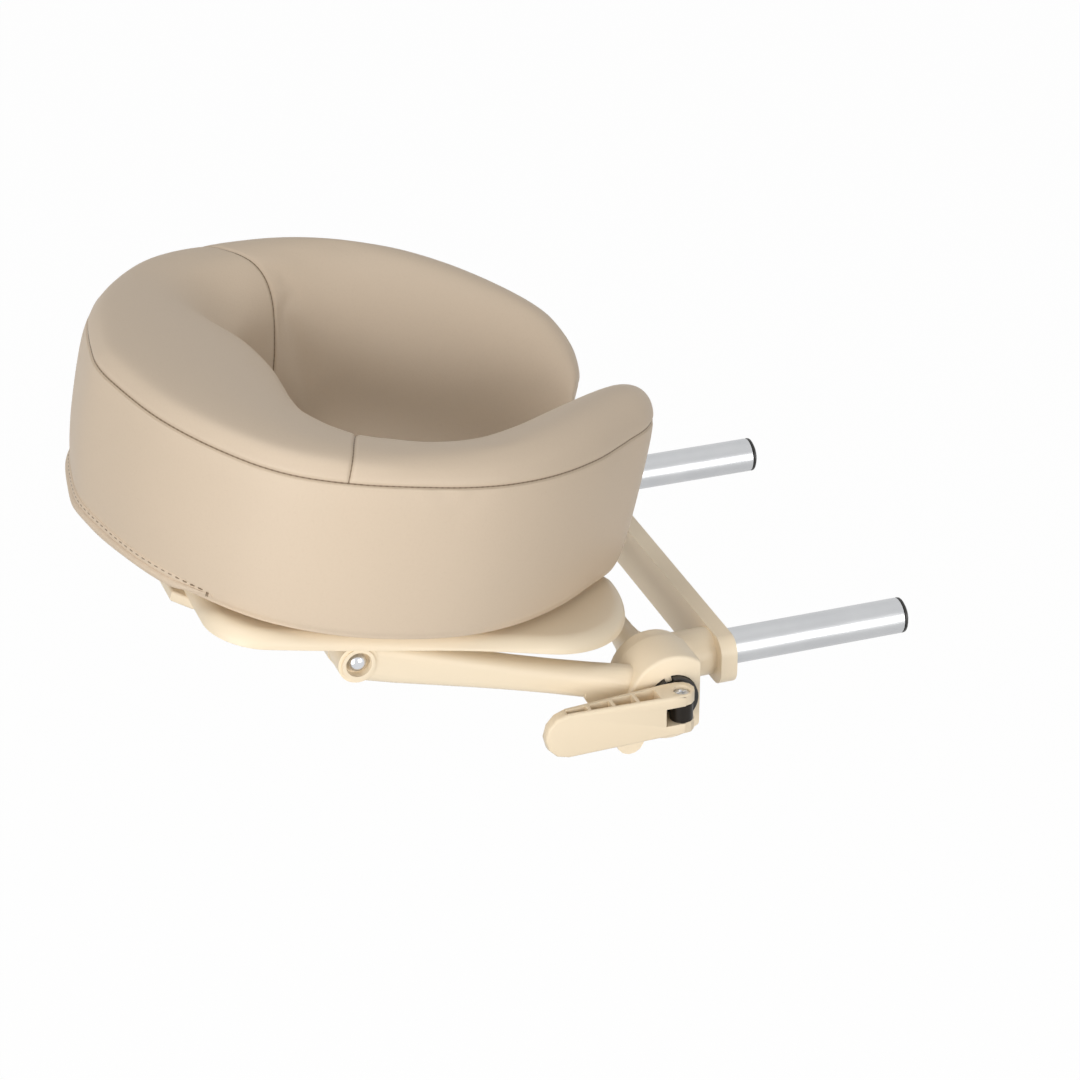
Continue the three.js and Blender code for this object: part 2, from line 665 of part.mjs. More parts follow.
function makeWing() {
  const roll = wingRim - seatGap;
  const blank = 3 * wingRim; // tall enough to keep the lower rounded edge out of the wing
  const full = solid(planProfile(wingOutline(0), deckTop - blank, deckTop, roll));
  const innerOutline = wingOutline(wingRimWall);
  const hollow = solid(planProfile(innerOutline, deckUnder - blank, deckUnder, roll - wingRimWall));
  const low = rimBottom - 2 * blank;
  const below = solid(box(-wingBackEnd, 2 * wingBackEnd, 0, 2 * wingOuterEdge, low, rimBottom));
  return cut(full, [below, hollow]);
}

function makeBracket() {
  const foot = bracketFootLength / 2;
  const top = deckUnder - seatGap;
  const shape = new THREE.Shape();
  shape.moveTo(-foot, top);
  shape.lineTo(-foot, top - gussetWeb);
  shape.lineTo(-bracketRadius, 0);
  shape.absarc(0, 0, bracketRadius, Math.PI, 2 * Math.PI, false);
  shape.lineTo(foot, top - gussetWeb);
  shape.lineTo(foot, top);
  const body = solid(sideProfile(shape, bracketInner, bracketOuter));
  const bore = barrel(boltBore, bracketInner - cutOverrun, bracketOuter + cutOverrun, smallSides);
  return body.subtract(solid(bore));
}

// ---- Bridge under both wings at the crown, with a pad and a screw in each ----
const padFront = -wingCrownEnd + bridgePadInset;
const screwX = padFront + bridgePadLength / 2;
const padOuter = bridgeHalfSpan - bridgeCorner;
const padInner = padOuter - bridgePadWidth;
const screwY = (padInner + padOuter) / 2;
function makeBridge() {
  const front = -bridgeFront;
  const back = front + bridgeDepth;
  const shape = new THREE.Shape();
  shape.moveTo(front, -bridgeHalfSpan + bridgeCorner);
  shape.lineTo(front + bridgeCorner, -bridgeHalfSpan);
  shape.lineTo(back, -bridgeHalfSpan);
  shape.lineTo(back, bridgeHalfSpan);
  shape.lineTo(front + bridgeCorner, bridgeHalfSpan);
  shape.lineTo(front, bridgeHalfSpan - bridgeCorner);
  const pieces = [solid(planProfile(shape, bridgeBottom, bridgeTop, bridgeEdgeRadius))];
  const cutters = [];
  for (const side of [-1, 1]) {
    const pad = box(
      padFront,
      padFront + bridgePadLength,
      padInner,
      padOuter,
      bridgeBottom + bridgeThickness / 2,
      deckUnder - seatGap,
    );
    pieces.push(side < 0 ? mirrored(solid(pad)) : solid(pad));
    const hole = upright(screwRadius + boreClearance, 2 * cushionSeatHeight, smallSides);
    cutters.push(solid(hole.translate(screwX, side * screwY, bridgeBottom)));
  }
  return cut(joined(pieces), cutters);
}

function makeScrew() {
  const under = bridgeBottom - seatGap;
  const top = deckUnder - 2 * seatGap;
  const profile = [[0, under - screwHeadHeight], [screwHeadRadius / 2, under - screwHeadHeight]];
  profile.push([screwHeadRadius, under - screwHeadHeight / 2], [screwHeadRadius, under]);
  profile.push([screwRadius, under], [screwRadius, top], [0, top]);
  return turned(profile, smallSides).rotateX(quarterTurn);
}

function makeGrip(top) {
  const near = gripPlane - gripWidth / 2;
  const shape = roundedRectangle(gripStart, gripStart + gripLength, near, near + gripWidth, gripWidth / 8);
  return solid(planProfile(shape, top - gripThickness, top));
}

// ---- Cushion ----
function outlineCurve(shares) {
  const points = shares.map(([x, y]) => new THREE.Vector3(x * cushionReach, y * cushionHalfWidth, 0));
  return new THREE.CatmullRomCurve3(points, false, 'centripetal');
}
const seamCurve = outlineCurve(seamOutlineShares);
const holeCurve = outlineCurve(holeOutlineShares);

// One closed section of the cushion. The station runs from -1 at the near tip to 1 at the far tip.
function cushionRing(station) {
  const share = Math.abs(station);
  const side = station < 0 ? -1 : 1;
  const outer = seamCurve.getPoint(share);
  const inner = holeCurve.getPoint(share);
  const { smoothstep } = THREE.MathUtils;
  const blend = smoothstep(share, creaseShare - domeBlendShare, creaseShare + domeBlendShare);
  const groove = Math.exp(-(((share - creaseShare) / creaseHalfShare) ** 2));
  const plump = smoothstep(outer.distanceTo(inner), 0, domeFullWidth);
  const dome = (crownDome + (cheekDome - crownDome) * blend) * plump - creaseDepth * groove;
  return crownSectionShares.map((crown, index) => {
    const cheek = cheekSectionShares[index];
    const [across, height, rise] = crown.map((value, k) => value + (cheek[k] - value) * blend);
    const place = outer.clone().lerp(inner, across);
    return new THREE.Vector3(place.x, side * place.y, height * seamHeight + rise * dome);
  });
}

function makeCushion() {
  const rings = [];
  for (let i = -cushionStationsPerHalf; i <= cushionStationsPerHalf; i += 1) {
    rings.push(cushionRing(i / cushionStationsPerHalf));
  }
  return solid(loft(rings));
}

// Hem of the cover's closing seam: a thin strip below the crown's lower edge.
function makeHem() {
  const [footShare, footHeightShare] = crownSectionShares[2];
  const rings = [];
  for (let i = 0; i <= hemSteps; i += 1) {
    const station = -hemNearShare + ((hemNearShare + hemFarShare) * i) / hemSteps;
    const side = station < 0 ? -1 : 1;
    const outer = seamCurve.getPoint(Math.abs(station));
    const inner = holeCurve.getPoint(Math.abs(station));
    const outward = outer.clone().sub(inner).normalize();
    const toEnd = Math.min(station + hemNearShare, hemFarShare - station);
    const fullness = hemEndShare + (1 - hemEndShare) * Math.min(1, toEnd / hemTaperShare);
    const root = outer.clone().lerp(inner, footShare).addScaledVector(outward, boreClearance);
    const top = footHeightShare * seamHeight;
    const corner = (out, height) => {
      const place = root.clone().addScaledVector(outward, out);
      return new THREE.Vector3(place.x, side * place.y, height);
    };
    const low = top - hemWidth * fullness;
    rings.push([
      corner(0, top),
      corner(hemLean * fullness, low),
      corner(hemLean * fullness + hemThickness, low),
      corner(hemThickness, top),
    ]);
  }
  return solid(loft(rings));
}

// ---- Assembly ----
const cradle = new THREE.Group();

const base = new THREE.Group();
base.position.set(-hubSetback, 0, 0);
cradle.add(base);
base.add(named('base_yoke', surface(makeYoke()), creamPlastic()));

const arms = new THREE.Group();
arms.position.set(-hubSetback, 0, 0);
arms.rotation.y = riseAngle;
cradle.add(arms);

const platform = new THREE.Group();
platform.position.set(-hubSetback - armLength * Math.cos(riseAngle), 0, armLength * Math.sin(riseAngle));
platform.rotation.y = tiltAngle;
cradle.add(platform);

const pad = new THREE.Group();
pad.position.set(cushionAhead, -cushionAside, cushionSeatHeight);
pad.rotation.z = THREE.MathUtils.degToRad(cushionTurn);
platform.add(pad);

const paired = [
  [base, 'friction_disc', makeFrictionDisc(), frictionFibre],
  [arms, 'arm', makeArm(), creamPlastic],
  [platform, 'wing', makeWing(), creamPlastic],
  [platform, 'pivot_bracket', makeBracket(), creamPlastic],
  [platform, 'pivot_bolt', makeBolt(), chromeSteel],
  [platform, 'pivot_nut', makeBoltNut(), zincSteel],
  [platform, 'hook_strip', makeGrip(deckTop + seatGap + gripThickness), gripFabric],
  [platform, 'loop_strip', makeGrip(cushionSeatHeight - seatGap), gripFabric],
];
for (const [group, title, body, material] of paired) {
  group.add(named(`${title}_near`, surface(mirrored(body)), material()));
  group.add(named(`${title}_far`, surface(body), material()));
}

for (const [word, side] of [['near', -1], ['far', 1]]) {
  const post = named(`post_${word}`, makePost(), zincSteel());
  post.position.y = side * postPlane;
  const cap = named(`post_cap_${word}`, makePostCap(), blackPlastic());
  cap.position.y = side * postPlane;
  base.add(post, cap);
  const screw = named(`bridge_screw_${word}`, makeScrew(), zincSteel());
  screw.position.set(screwX, side * screwY, 0);
  platform.add(screw);
}

const clamp = new THREE.Group();
base.add(clamp);
clamp.add(named('clamp_rod', surface(makeRod()), blackSteel()));
clamp.add(named('clamp_nut', surface(makeNut()), zincSteel()));
clamp.add(named('cam_pin', makePin(), zincSteel()));
clamp.add(named('cam_lever', surface(makeLever()), creamPlastic()));

arms.add(named('cam_saddle', surface(mirrored(makeSaddle())), blackPlastic()));
arms.add(named('far_washer', surface(makeFarWasher()), blackPlastic()));

platform.add(named('crown_bridge', surface(makeBridge()), creamPlastic()));
pad.add(named('cushion', surface(makeCushion()), tanVinyl()));
pad.add(named('closing_flap', surface(makeHem()), tanVinyl()));

export default cradle;
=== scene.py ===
"""Face cradle: a horseshoe cushion on a moulded platform, two swing arms and a cam clamp.

Metres in Blender, millimetres in the dataclass fields. +X is the mounting side and +Z is up.
"""
import json
import logging
import math
from dataclasses import dataclass, field, replace
from enum import Enum
from typing import Callable, Optional, Sequence

import bmesh
import bpy
import numpy as np
from mathutils import Matrix, Vector


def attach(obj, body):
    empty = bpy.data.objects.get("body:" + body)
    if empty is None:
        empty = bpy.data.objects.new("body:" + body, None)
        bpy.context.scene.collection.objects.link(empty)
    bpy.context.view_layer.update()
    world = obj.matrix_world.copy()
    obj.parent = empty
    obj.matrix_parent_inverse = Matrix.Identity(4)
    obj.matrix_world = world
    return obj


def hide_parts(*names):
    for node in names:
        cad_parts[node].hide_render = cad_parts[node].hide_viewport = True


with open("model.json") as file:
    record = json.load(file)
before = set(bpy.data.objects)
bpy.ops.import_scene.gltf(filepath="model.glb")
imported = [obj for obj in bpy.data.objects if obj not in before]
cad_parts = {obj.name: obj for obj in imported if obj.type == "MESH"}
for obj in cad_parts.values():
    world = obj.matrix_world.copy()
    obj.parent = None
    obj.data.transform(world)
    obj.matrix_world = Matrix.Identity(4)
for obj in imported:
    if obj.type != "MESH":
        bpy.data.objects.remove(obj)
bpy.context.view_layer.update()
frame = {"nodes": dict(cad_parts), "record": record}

logging.basicConfig(level=logging.INFO, format="%(name)s: %(message)s")
LOG = logging.getLogger("face_cradle")

MM = 0.001
TAU = 2.0 * math.pi
HOLE_PITCH = 3.1  # Millimetres from one stitch hole to the next, each darkened with painted shade
OFF_SEAM = 9.0  # Millimetres from a seam that count as far from it
Array = np.ndarray
Socket = bpy.types.NodeSocket
Tree = bpy.types.NodeTree
Given = bpy.types.NodeOutputs
Mesh = bpy.types.Mesh
Piece = bpy.types.Object
Pair = tuple[float, float]
Triple = tuple[float, float, float]


class Body(Enum):
    """The moving bodies that a piece can ride on."""

    BASE = "base"
    CLAMP = "clamp"
    LEVER = "lever"
    ARMS = "arms"
    PLATFORM = "platform"
    PAD = "pad"


class Slot(Enum):
    """The record's material slots."""

    CREAM = "cream_plastic"
    LEVER = "lever_plastic"
    BLACK = "black_plastic"
    BLACK_STEEL = "black_steel"
    ZINC = "zinc_steel"
    CHROME = "chrome_steel"
    FIBRE = "friction_fibre"
    PILE = "grip_fabric"
    COVER = "cover_vinyl"


# Numbers on arrays
def smoothstep(value: Array, low: float, high: float) -> Array:
    """Cubic ease: t squared times (3 minus 2t), with t the clamped share between low and high."""
    t = np.clip((np.asarray(value, float) - low) / (high - low), 0.0, 1.0)
    return t * t * (3.0 - 2.0 * t)


def bell(value: Array, middle: float, width: float) -> Array:
    """Gaussian: e to the minus square of the distance from the middle over the width."""
    return np.exp(-(((np.asarray(value, float) - middle) / width) ** 2))


def knotted_curve(points: Array, share: Array, mirrored: bool = False) -> Array:
    """Centripetal cubic through points: each span's knots are the square roots of its chords.

    Args:
        points: Array of n points by k coordinates.
        share: Places along the curve, 0 at the first point and 1 at the last, even per span.
        mirrored: True where the curve goes on as its own mirror before its first point.

    Returns:
        Array of the curve's points, one row per share.
    """
    before = points[1] * np.array([1.0, -1.0]) if mirrored else 2 * points[0] - points[1]
    padded = np.vstack([before, points, 2 * points[-1] - points[-2]])
    place = np.clip(np.asarray(share, float), 0.0, 1.0) * (len(points) - 1)
    span = np.minimum(place.astype(int), len(points) - 2)
    t = (place - span)[:, None]
    p0, p1, p2, p3 = (padded[span + k] for k in range(4))
    d0, d1, d2 = (
        np.maximum(np.sqrt(np.linalg.norm(b - a, axis=1)), 1e-6)[:, None]
        for a, b in ((p0, p1), (p1, p2), (p2, p3))
    )
    m1 = ((p1 - p0) / d0 - (p2 - p0) / (d0 + d1) + (p2 - p1) / d1) * d1
    m2 = ((p2 - p1) / d1 - (p3 - p1) / (d1 + d2) + (p3 - p2) / d2) * d1
    c2 = -3 * p1 + 3 * p2 - 2 * m1 - m2
    c3 = 2 * p1 - 2 * p2 + m1 + m2
    return p1 + m1 * t + c2 * t**2 + c3 * t**3


def looped_curve(values: Array, turn: Array) -> Array:
    """Even cubic through a closed row of values, each slope half the difference of its neighbours.

    Args:
        values: Array of n values by k columns round the loop.
        turn: Places round the loop in steps of one value, from 0 up to n.

    Returns:
        Array of the loop's values, one row per turn.
    """
    n = len(values)
    place = np.mod(np.asarray(turn, float), n)
    i = place.astype(int) % n
    t = (place - np.floor(place))[:, None]
    a, b, c, d = (values[(i + k) % n] for k in (-1, 0, 1, 2))
    return b + 0.5 * t * (c - a + t * (2 * a - 5 * b + 4 * c - d + t * (3 * (b - c) + d - a)))


def eased_table(rows: Sequence[Pair], share: Array) -> Array:
    """Values between a table's rows, rounded off by the mean of nearby shares under a bell."""
    table = np.array(rows, float)
    even = np.linspace(-0.2, 1.2, 281)
    weight = bell(np.linspace(-0.1, 0.1, 41), 0.0, 0.035)
    level = np.convolve(np.interp(even, table[:, 0], table[:, 1]), weight / weight.sum(), "same")
    return np.interp(share, even[20:-20], level[20:-20])


def grid_faces(rows: int, columns: int) -> Array:
    """Quads of a grid of points numbered row by row and joined round each row."""
    r = np.arange(rows - 1)[:, None] * columns
    c = np.arange(columns)[None, :]
    after = (c + 1) % columns
    quads = [r + c, r + after, r + columns + after, r + columns + c]
    return np.stack(quads, axis=-1).reshape(-1, 4)


def cap_fan(ring: Array, hub: int, flip: bool) -> Array:
    """Triangles from each edge of a ring of points to one hub point."""
    after = np.roll(ring, -1)
    first, second = (after, ring) if flip else (ring, after)
    return np.stack([first, second, np.full_like(ring, hub)], axis=-1)


def capped_faces(rows: int, columns: int) -> list[Array]:
    """Faces of a grid whose ends close on two hub points that follow its own."""
    count, ring = rows * columns, np.arange(columns)
    caps = [cap_fan(ring, count, True), cap_fan(ring + count - columns, count + 1, False)]
    return [grid_faces(rows, columns), *caps]


def tube_faces(rows: int, columns: int) -> list[Array]:
    """Faces of a grid whose ends close as one polygon each."""
    ring = np.arange(columns)
    return [grid_faces(rows, columns), ring[None], (ring + (rows - 1) * columns)[None]]


def beads(centres: Array, ways: Array, length: Array, radius: float) -> tuple[Array, list[Array]]:
    """Thin closed beads: the girth falls towards both ends as the root of one minus a fourth power.

    Args:
        centres: Array of n by 3 middles.
        ways: Array of n by 3 directions.
        length: Length of each bead.
        radius: Radius at the middle.

    Returns:
        The points and the arrays of faces.
    """
    u = np.linspace(0, 1, 7)
    v = np.linspace(0, TAU, 8, endpoint=False)
    way = ways / np.linalg.norm(ways, axis=1, keepdims=True)
    upright = np.abs(way[:, 2:]) > 0.7
    side = np.cross(way, np.where(upright, [[1.0, 0.0, 0.0]], [[0.0, 0.0, 1.0]]))
    side = side / np.linalg.norm(side, axis=1, keepdims=True)
    over = np.cross(side, way)
    girth = radius * np.sqrt(np.clip(1 - (2 * u - 1) ** 4, 0.02, 1))
    along = (u[None, :] - 0.5) * length[:, None]
    v = v[None, :, None]
    ring = side[:, None, :] * np.cos(v) + over[:, None, :] * np.sin(v)
    points = centres[:, None, None, :] + way[:, None, None, :] * along[:, :, None, None]
    points = points + ring[:, None, :, :] * girth[None, :, None, None]
    rows, columns = points.shape[1:3]
    shifts = (np.arange(len(centres)) * rows * columns)[:, None, None]
    faces = [(f[None] + shifts).reshape(-1, f.shape[1]) for f in tube_faces(rows, columns)]
    return points, faces


def run_length(points: Array) -> Array:
    """Length along a row of points, from its first point to each."""
    return np.append(0.0, np.cumsum(np.linalg.norm(np.diff(points, axis=0), axis=1)))


def point_normals(points: Array) -> Array:
    """Outward unit normals of a grid closed along its columns: cross product of its two slopes."""
    along = np.gradient(points, axis=0)
    across = np.roll(points, -1, axis=1) - np.roll(points, 1, axis=1)
    normal = np.cross(along, across)
    normal = normal / np.maximum(np.linalg.norm(normal, axis=2, keepdims=True), 1e-12)
    centre = points.mean(axis=1, keepdims=True)
    return normal * np.sign(np.sum(normal * (points - centre)) or 1.0)


# Meshes and pieces
def face_out(work: bmesh.types.BMesh, mesh: Mesh) -> None:
    """Turns the faces of a work mesh outwards and writes it back to its mesh."""
    bmesh.ops.recalc_face_normals(work, faces=work.faces)
    work.to_mesh(mesh)
    work.free()


def to_mesh(name: str, points: Array, faces: Sequence[Array]) -> Mesh:
    """A smooth mesh from points in metres and arrays of faces.

    Args:
        name: Name of the mesh.
        points: Array of n by 3 coordinates.
        faces: Arrays of quads, triangles or single polygons.

    Returns:
        The new mesh, with its faces turned outwards.
    """
    polygons = [tuple(int(i) for i in f) for group in faces for f in group]
    mesh = bpy.data.meshes.new(name)
    mesh.from_pydata(points.reshape(-1, 3).tolist(), [], polygons)
    mesh.validate()
    mesh.update()
    work = bmesh.new()
    work.from_mesh(mesh)
    face_out(work, mesh)
    mesh.polygons.foreach_set("use_smooth", [True] * len(mesh.polygons))
    return mesh


def merge(mesh: Mesh, distance: float, flatness: float) -> None:
    """Joins a mesh's doubled points and dissolves the lines that fold by less than an angle.

    Args:
        mesh: The mesh, changed in place.
        distance: Points closer than this are joined, in metres.
        flatness: The angle in radians, with zero to dissolve nothing.
    """
    work = bmesh.new()
    work.from_mesh(mesh)
    bmesh.ops.remove_doubles(work, verts=work.verts, dist=distance)
    if flatness > 0:
        lines = {"verts": work.verts, "edges": work.edges, "delimit": {"NORMAL"}}
        bmesh.ops.dissolve_limit(work, angle_limit=flatness, **lines)
    face_out(work, mesh)


@dataclass
class Workshop:
    """Places finished pieces on their bodies and keeps their names."""

    made: list[str] = field(default_factory=list)

    def place(
        self,
        mesh: Mesh,
        body: Body,
        slot: Slot,
        material: bpy.types.Material,
        stands_for: Sequence[str] = (),
    ) -> Piece:
        """Makes an object of a mesh that already lies in place.

        Args:
            mesh: Mesh in the object's frame, in metres.
            body: The body that it rides on.
            slot: Its slot in the record; not used.
            material: Its finish.
            stands_for: CAD nodes that it replaces.

        Returns:
            The new object.
        """
        piece = bpy.data.objects.new(mesh.name, mesh)
        bpy.context.scene.collection.objects.link(piece)
        mesh.materials.clear()
        mesh.materials.append(material)
        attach(piece, body.value)
        if stands_for:
            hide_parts(*stands_for)
        self.made.append(piece.name)
        return piece


def smooth_by_angle(piece: Piece, degrees: float) -> None:
    """Marks as sharp the edges that fold by more than an angle and smooths the rest."""
    mesh = piece.data
    mesh.polygons.foreach_set("use_smooth", [True] * len(mesh.polygons))
    mesh.set_sharp_from_angle(angle=math.radians(degrees))


def soften(piece: Piece, width: float, degrees: float) -> None:
    """Rounds a piece's edges that fold by more than an angle, to a width in metres."""
    bevel = piece.modifiers.new("soft_edges", "BEVEL")
    bevel.width = width
    bevel.segments = 3
    bevel.limit_method = "ANGLE"
    bevel.angle_limit = math.radians(degrees)
    bevel.harden_normals = True
    bevel.miter_outer = "MITER_ARC"
    bevel.use_clamp_overlap = True


# Finishes
def linear(colour: Sequence[float]) -> tuple[float, float, float, float]:
    """Screen colour of three parts from 0 to 255, as linear light with full alpha."""
    share = [c / 255.0 for c in colour]
    parts = [s / 12.92 if s <= 0.04045 else ((s + 0.055) / 1.055) ** 2.4 for s in share]
    return (parts[0], parts[1], parts[2], 1.0)


class NodeBoard:
    """Short words for placing and joining the nodes of one tree."""

    def __init__(self, tree: Tree) -> None:
        """Takes the tree to build in."""
        self.tree = tree

    def feed(self, socket: Socket, value: object) -> None:
        """Links an input to another node's output, or sets its plain value."""
        if isinstance(value, Socket):
            self.tree.links.new(value, socket)
        else:
            socket.default_value = value

    def add(self, kind: str, fed: Optional[dict] = None, **plain: object) -> bpy.types.Node:
        """Adds a node with plain settings and feeds its inputs, given by name or number."""
        node = self.tree.nodes.new(kind)
        for key, value in plain.items():
            setattr(node, key, value)
        for key, value in (fed or {}).items():
            self.feed(node.inputs[key], value)
        return node

    def place(self) -> Socket:
        """Places in the object's own frame."""
        return self.add("ShaderNodeTexCoord").outputs["Object"]

    def math(self, operation: str, a: object, b: object = 0.0) -> Socket:
        """A Math node of two numbers or sockets."""
        return self.add("ShaderNodeMath", {0: a, 1: b}, operation=operation).outputs[0]

    def weighed(self, a: Socket, a_weight: float, b: Socket, b_weight: float) -> Socket:
        """Sum of two values times their weights."""
        parts = [self.math("MULTIPLY", *part) for part in ((a, a_weight), (b, b_weight))]
        return self.math("ADD", *parts)

    def blend(self, share: object, a: object, b: object) -> Socket:
        """A colour mix of two colours or sockets."""
        fed = {0: share, 6: a, 7: b}
        return self.add("ShaderNodeMix", fed, data_type="RGBA", clamp_factor=True).outputs[2]

    def spread(
        self, value: Socket, low: object, high: object, start: float = 0.0, end: float = 1.0
    ) -> Socket:
        """Maps a value between start and end onto a range of numbers or sockets."""
        fed = {0: value, 1: start, 2: end, 3: low, 4: high}
        return self.add("ShaderNodeMapRange", fed, clamp=True).outputs[0]

    def tinted(self, value: Socket, most: object, a: object, b: object) -> Socket:
        """Colour a, with b laid over it as a value grows, up to a share."""
        return self.blend(self.spread(value, 0.0, most), a, b)

    def noise(self, where: Socket, scale: object, detail: float) -> Socket:
        """Fractal noise at a place."""
        fed = {"Vector": where, "Scale": scale, "Detail": detail}
        return self.add("ShaderNodeTexNoise", fed).outputs[0]


Draw = Callable[[NodeBoard, Given], Sequence[Socket]]
COLOUR, NUMBER = "NodeSocketColor", "NodeSocketFloat"


def effect_group(
    name: str, colours: Sequence[str], numbers: Sequence[str], outputs: dict[str, str], draw: Draw
) -> Tree:
    """Builds a node group once.

    Args:
        name: Its name.
        colours: Names of its colour inputs.
        numbers: Names of its number inputs.
        outputs: Socket type of each output, by name.
        draw: Draws the group from its inputs and returns what its outputs give, in order.

    Returns:
        The group's tree.
    """
    if name in bpy.data.node_groups:
        return bpy.data.node_groups[name]
    tree = bpy.data.node_groups.new(name, "ShaderNodeTree")
    for kind, labels in ((COLOUR, colours), (NUMBER, numbers)):
        for label in labels:
            tree.interface.new_socket(label, in_out="INPUT", socket_type=kind)
    for label, kind in outputs.items():
        tree.interface.new_socket(label, in_out="OUTPUT", socket_type=kind)
    board = NodeBoard(tree)
    given, result = board.add("NodeGroupInput"), board.add("NodeGroupOutput")
    for label, value in zip(outputs, draw(board, given.outputs)):
        board.feed(result.inputs[label], value)
    return tree


SKIN = {"Colour": COLOUR, "Roughness": NUMBER, "Height": NUMBER}
ROUGHNESS_ENDS = ("Smooth", "Rough")


def hide_grain() -> Tree:
    """Fine pebbled grain of synthetic leather with slow patches of tone."""

    def draw(board: NodeBoard, given: Given) -> Sequence[Socket]:
        """Cells give the pebbles, noise breaks them up and slower noise mottles the colour."""
        where, scale = board.place(), given["Cell scale"]
        fed = {"Vector": where, "Scale": scale, "Smoothness": 0.6}
        cells = board.add("ShaderNodeTexVoronoi", fed, feature="SMOOTH_F1").outputs[0]
        fine = board.noise(where, board.math("MULTIPLY", scale, 2.3), 4.0)
        slow = board.noise(where, 11.0, 3.0)
        tone = board.tinted(slow, given["Mottle"], given["Colour"], given["Deep"])
        tone = board.tinted(board.noise(where, 3.5, 1.0), 0.35, tone, given["Warm"])
        colour = board.tinted(board.math("POWER", cells, 3.0), 0.35, tone, given["Deep"])
        roughness = board.spread(fine, given["Smooth"], given["Rough"])
        return colour, roughness, board.weighed(cells, 0.75, fine, 0.5)

    numbers = ("Cell scale", "Mottle", *ROUGHNESS_ENDS)
    return effect_group("hide_grain", ("Colour", "Deep", "Warm"), numbers, SKIN, draw)


def moulded_skin() -> Tree:
    """Satin skin of a moulding: faint flow marks, orange peel and a spark-eroded grain."""

    def draw(board: NodeBoard, given: Given) -> Sequence[Socket]:
        """Slow noise shifts the tone, fine noise gives peel and roughness."""
        where = board.place()
        peel = board.noise(where, 260.0, 2.0)
        grain = board.noise(where, given["Grain scale"], 3.0)
        slow = board.noise(where, 14.0, 2.0)
        tone = board.tinted(slow, given["Drift"], given["Colour"], given["Tint"])
        colour = board.tinted(grain, 0.12, tone, given["Tint"])
        roughness = board.spread(grain, given["Smooth"], given["Rough"])
        return colour, roughness, board.weighed(peel, 0.6, grain, 0.4)

    numbers = ("Grain scale", "Drift", *ROUGHNESS_ENDS)
    return effect_group("moulded_skin", ("Colour", "Tint"), numbers, SKIN, draw)


def worked_metal() -> Tree:
    """Drawn or plated metal: fine lines along one way over a slow stain."""

    def draw(board: NodeBoard, given: Given) -> Sequence[Socket]:
        """Noise stretched along X gives the drawn lines, and slow noise the stain."""
        where = board.place()
        drawn = board.add("ShaderNodeMapping", {"Vector": where, "Scale": (0.04, 1.0, 1.0)})
        lines = board.noise(drawn.outputs[0], given["Line scale"], 3.0)
        shade = board.tinted(board.noise(where, 60.0, 3.0), 0.5, given["Colour"], given["Stain"])
        colour = board.tinted(lines, 0.2, shade, given["Stain"])
        return colour, board.spread(lines, given["Smooth"], given["Rough"]), lines

    numbers = ("Line scale", *ROUGHNESS_ENDS)
    return effect_group("worked_metal", ("Colour", "Stain"), numbers, SKIN, draw)


def standing_pile() -> Tree:
    """Short pile of hook-and-loop tape: a fine speckle with tufts."""

    def draw(board: NodeBoard, given: Given) -> Sequence[Socket]:
        """Small cells are the tufts, and noise shades them."""
        where = board.place()
        fed = {"Vector": where, "Scale": given["Tuft scale"]}
        tufts = board.add("ShaderNodeTexVoronoi", fed, feature="F1").outputs[0]
        fuzz = board.noise(where, 2600.0, 3.0)
        shade = board.tinted(tufts, 0.9, given["Colour"], given["Shade"])
        colour = board.tinted(fuzz, 0.4, shade, given["Shade"])
        return colour, board.spread(fuzz, 0.8, 1.0), board.math("SUBTRACT", fuzz, tufts)

    return effect_group("standing_pile", ("Colour", "Shade"), ("Tuft scale",), SKIN, draw)


def seam_shade_line() -> Tree:
    """Mask of painted shade at the sewn seams: a thin dark line in each seam's groove, darker at
    each stitch hole, with a faint wider shade beside it.
    """

    def draw(board: NodeBoard, given: Given) -> Sequence[Socket]:
        """The painted shade fades with distance from the seam; a sine along the seam darkens the
        stitch holes.
        """
        away = board.add("ShaderNodeAttribute", attribute_name="seam_distance").outputs["Fac"]
        run = board.add("ShaderNodeAttribute", attribute_name="seam_run").outputs["Fac"]
        # Painted shade: dark in the groove itself and faintly darker in the dip up to 1.6 mm beside
        # it
        line = board.spread(away, 1.0, 0.0, 0.18, 0.5)
        wide = board.spread(away, 0.14, 0.0, 0.3, 1.6)
        # Each stitch hole gets a stronger painted shade
        beat = board.math("SINE", board.math("MULTIPLY", run, TAU / HOLE_PITCH))
        stitch = board.spread(beat, 0.86, 1.0, -0.3, 0.8)
        return [board.math("MAXIMUM", board.math("MULTIPLY", line, stitch), wide)]

    return effect_group("seam_shade_line", (), (), {"Mask": NUMBER}, draw)


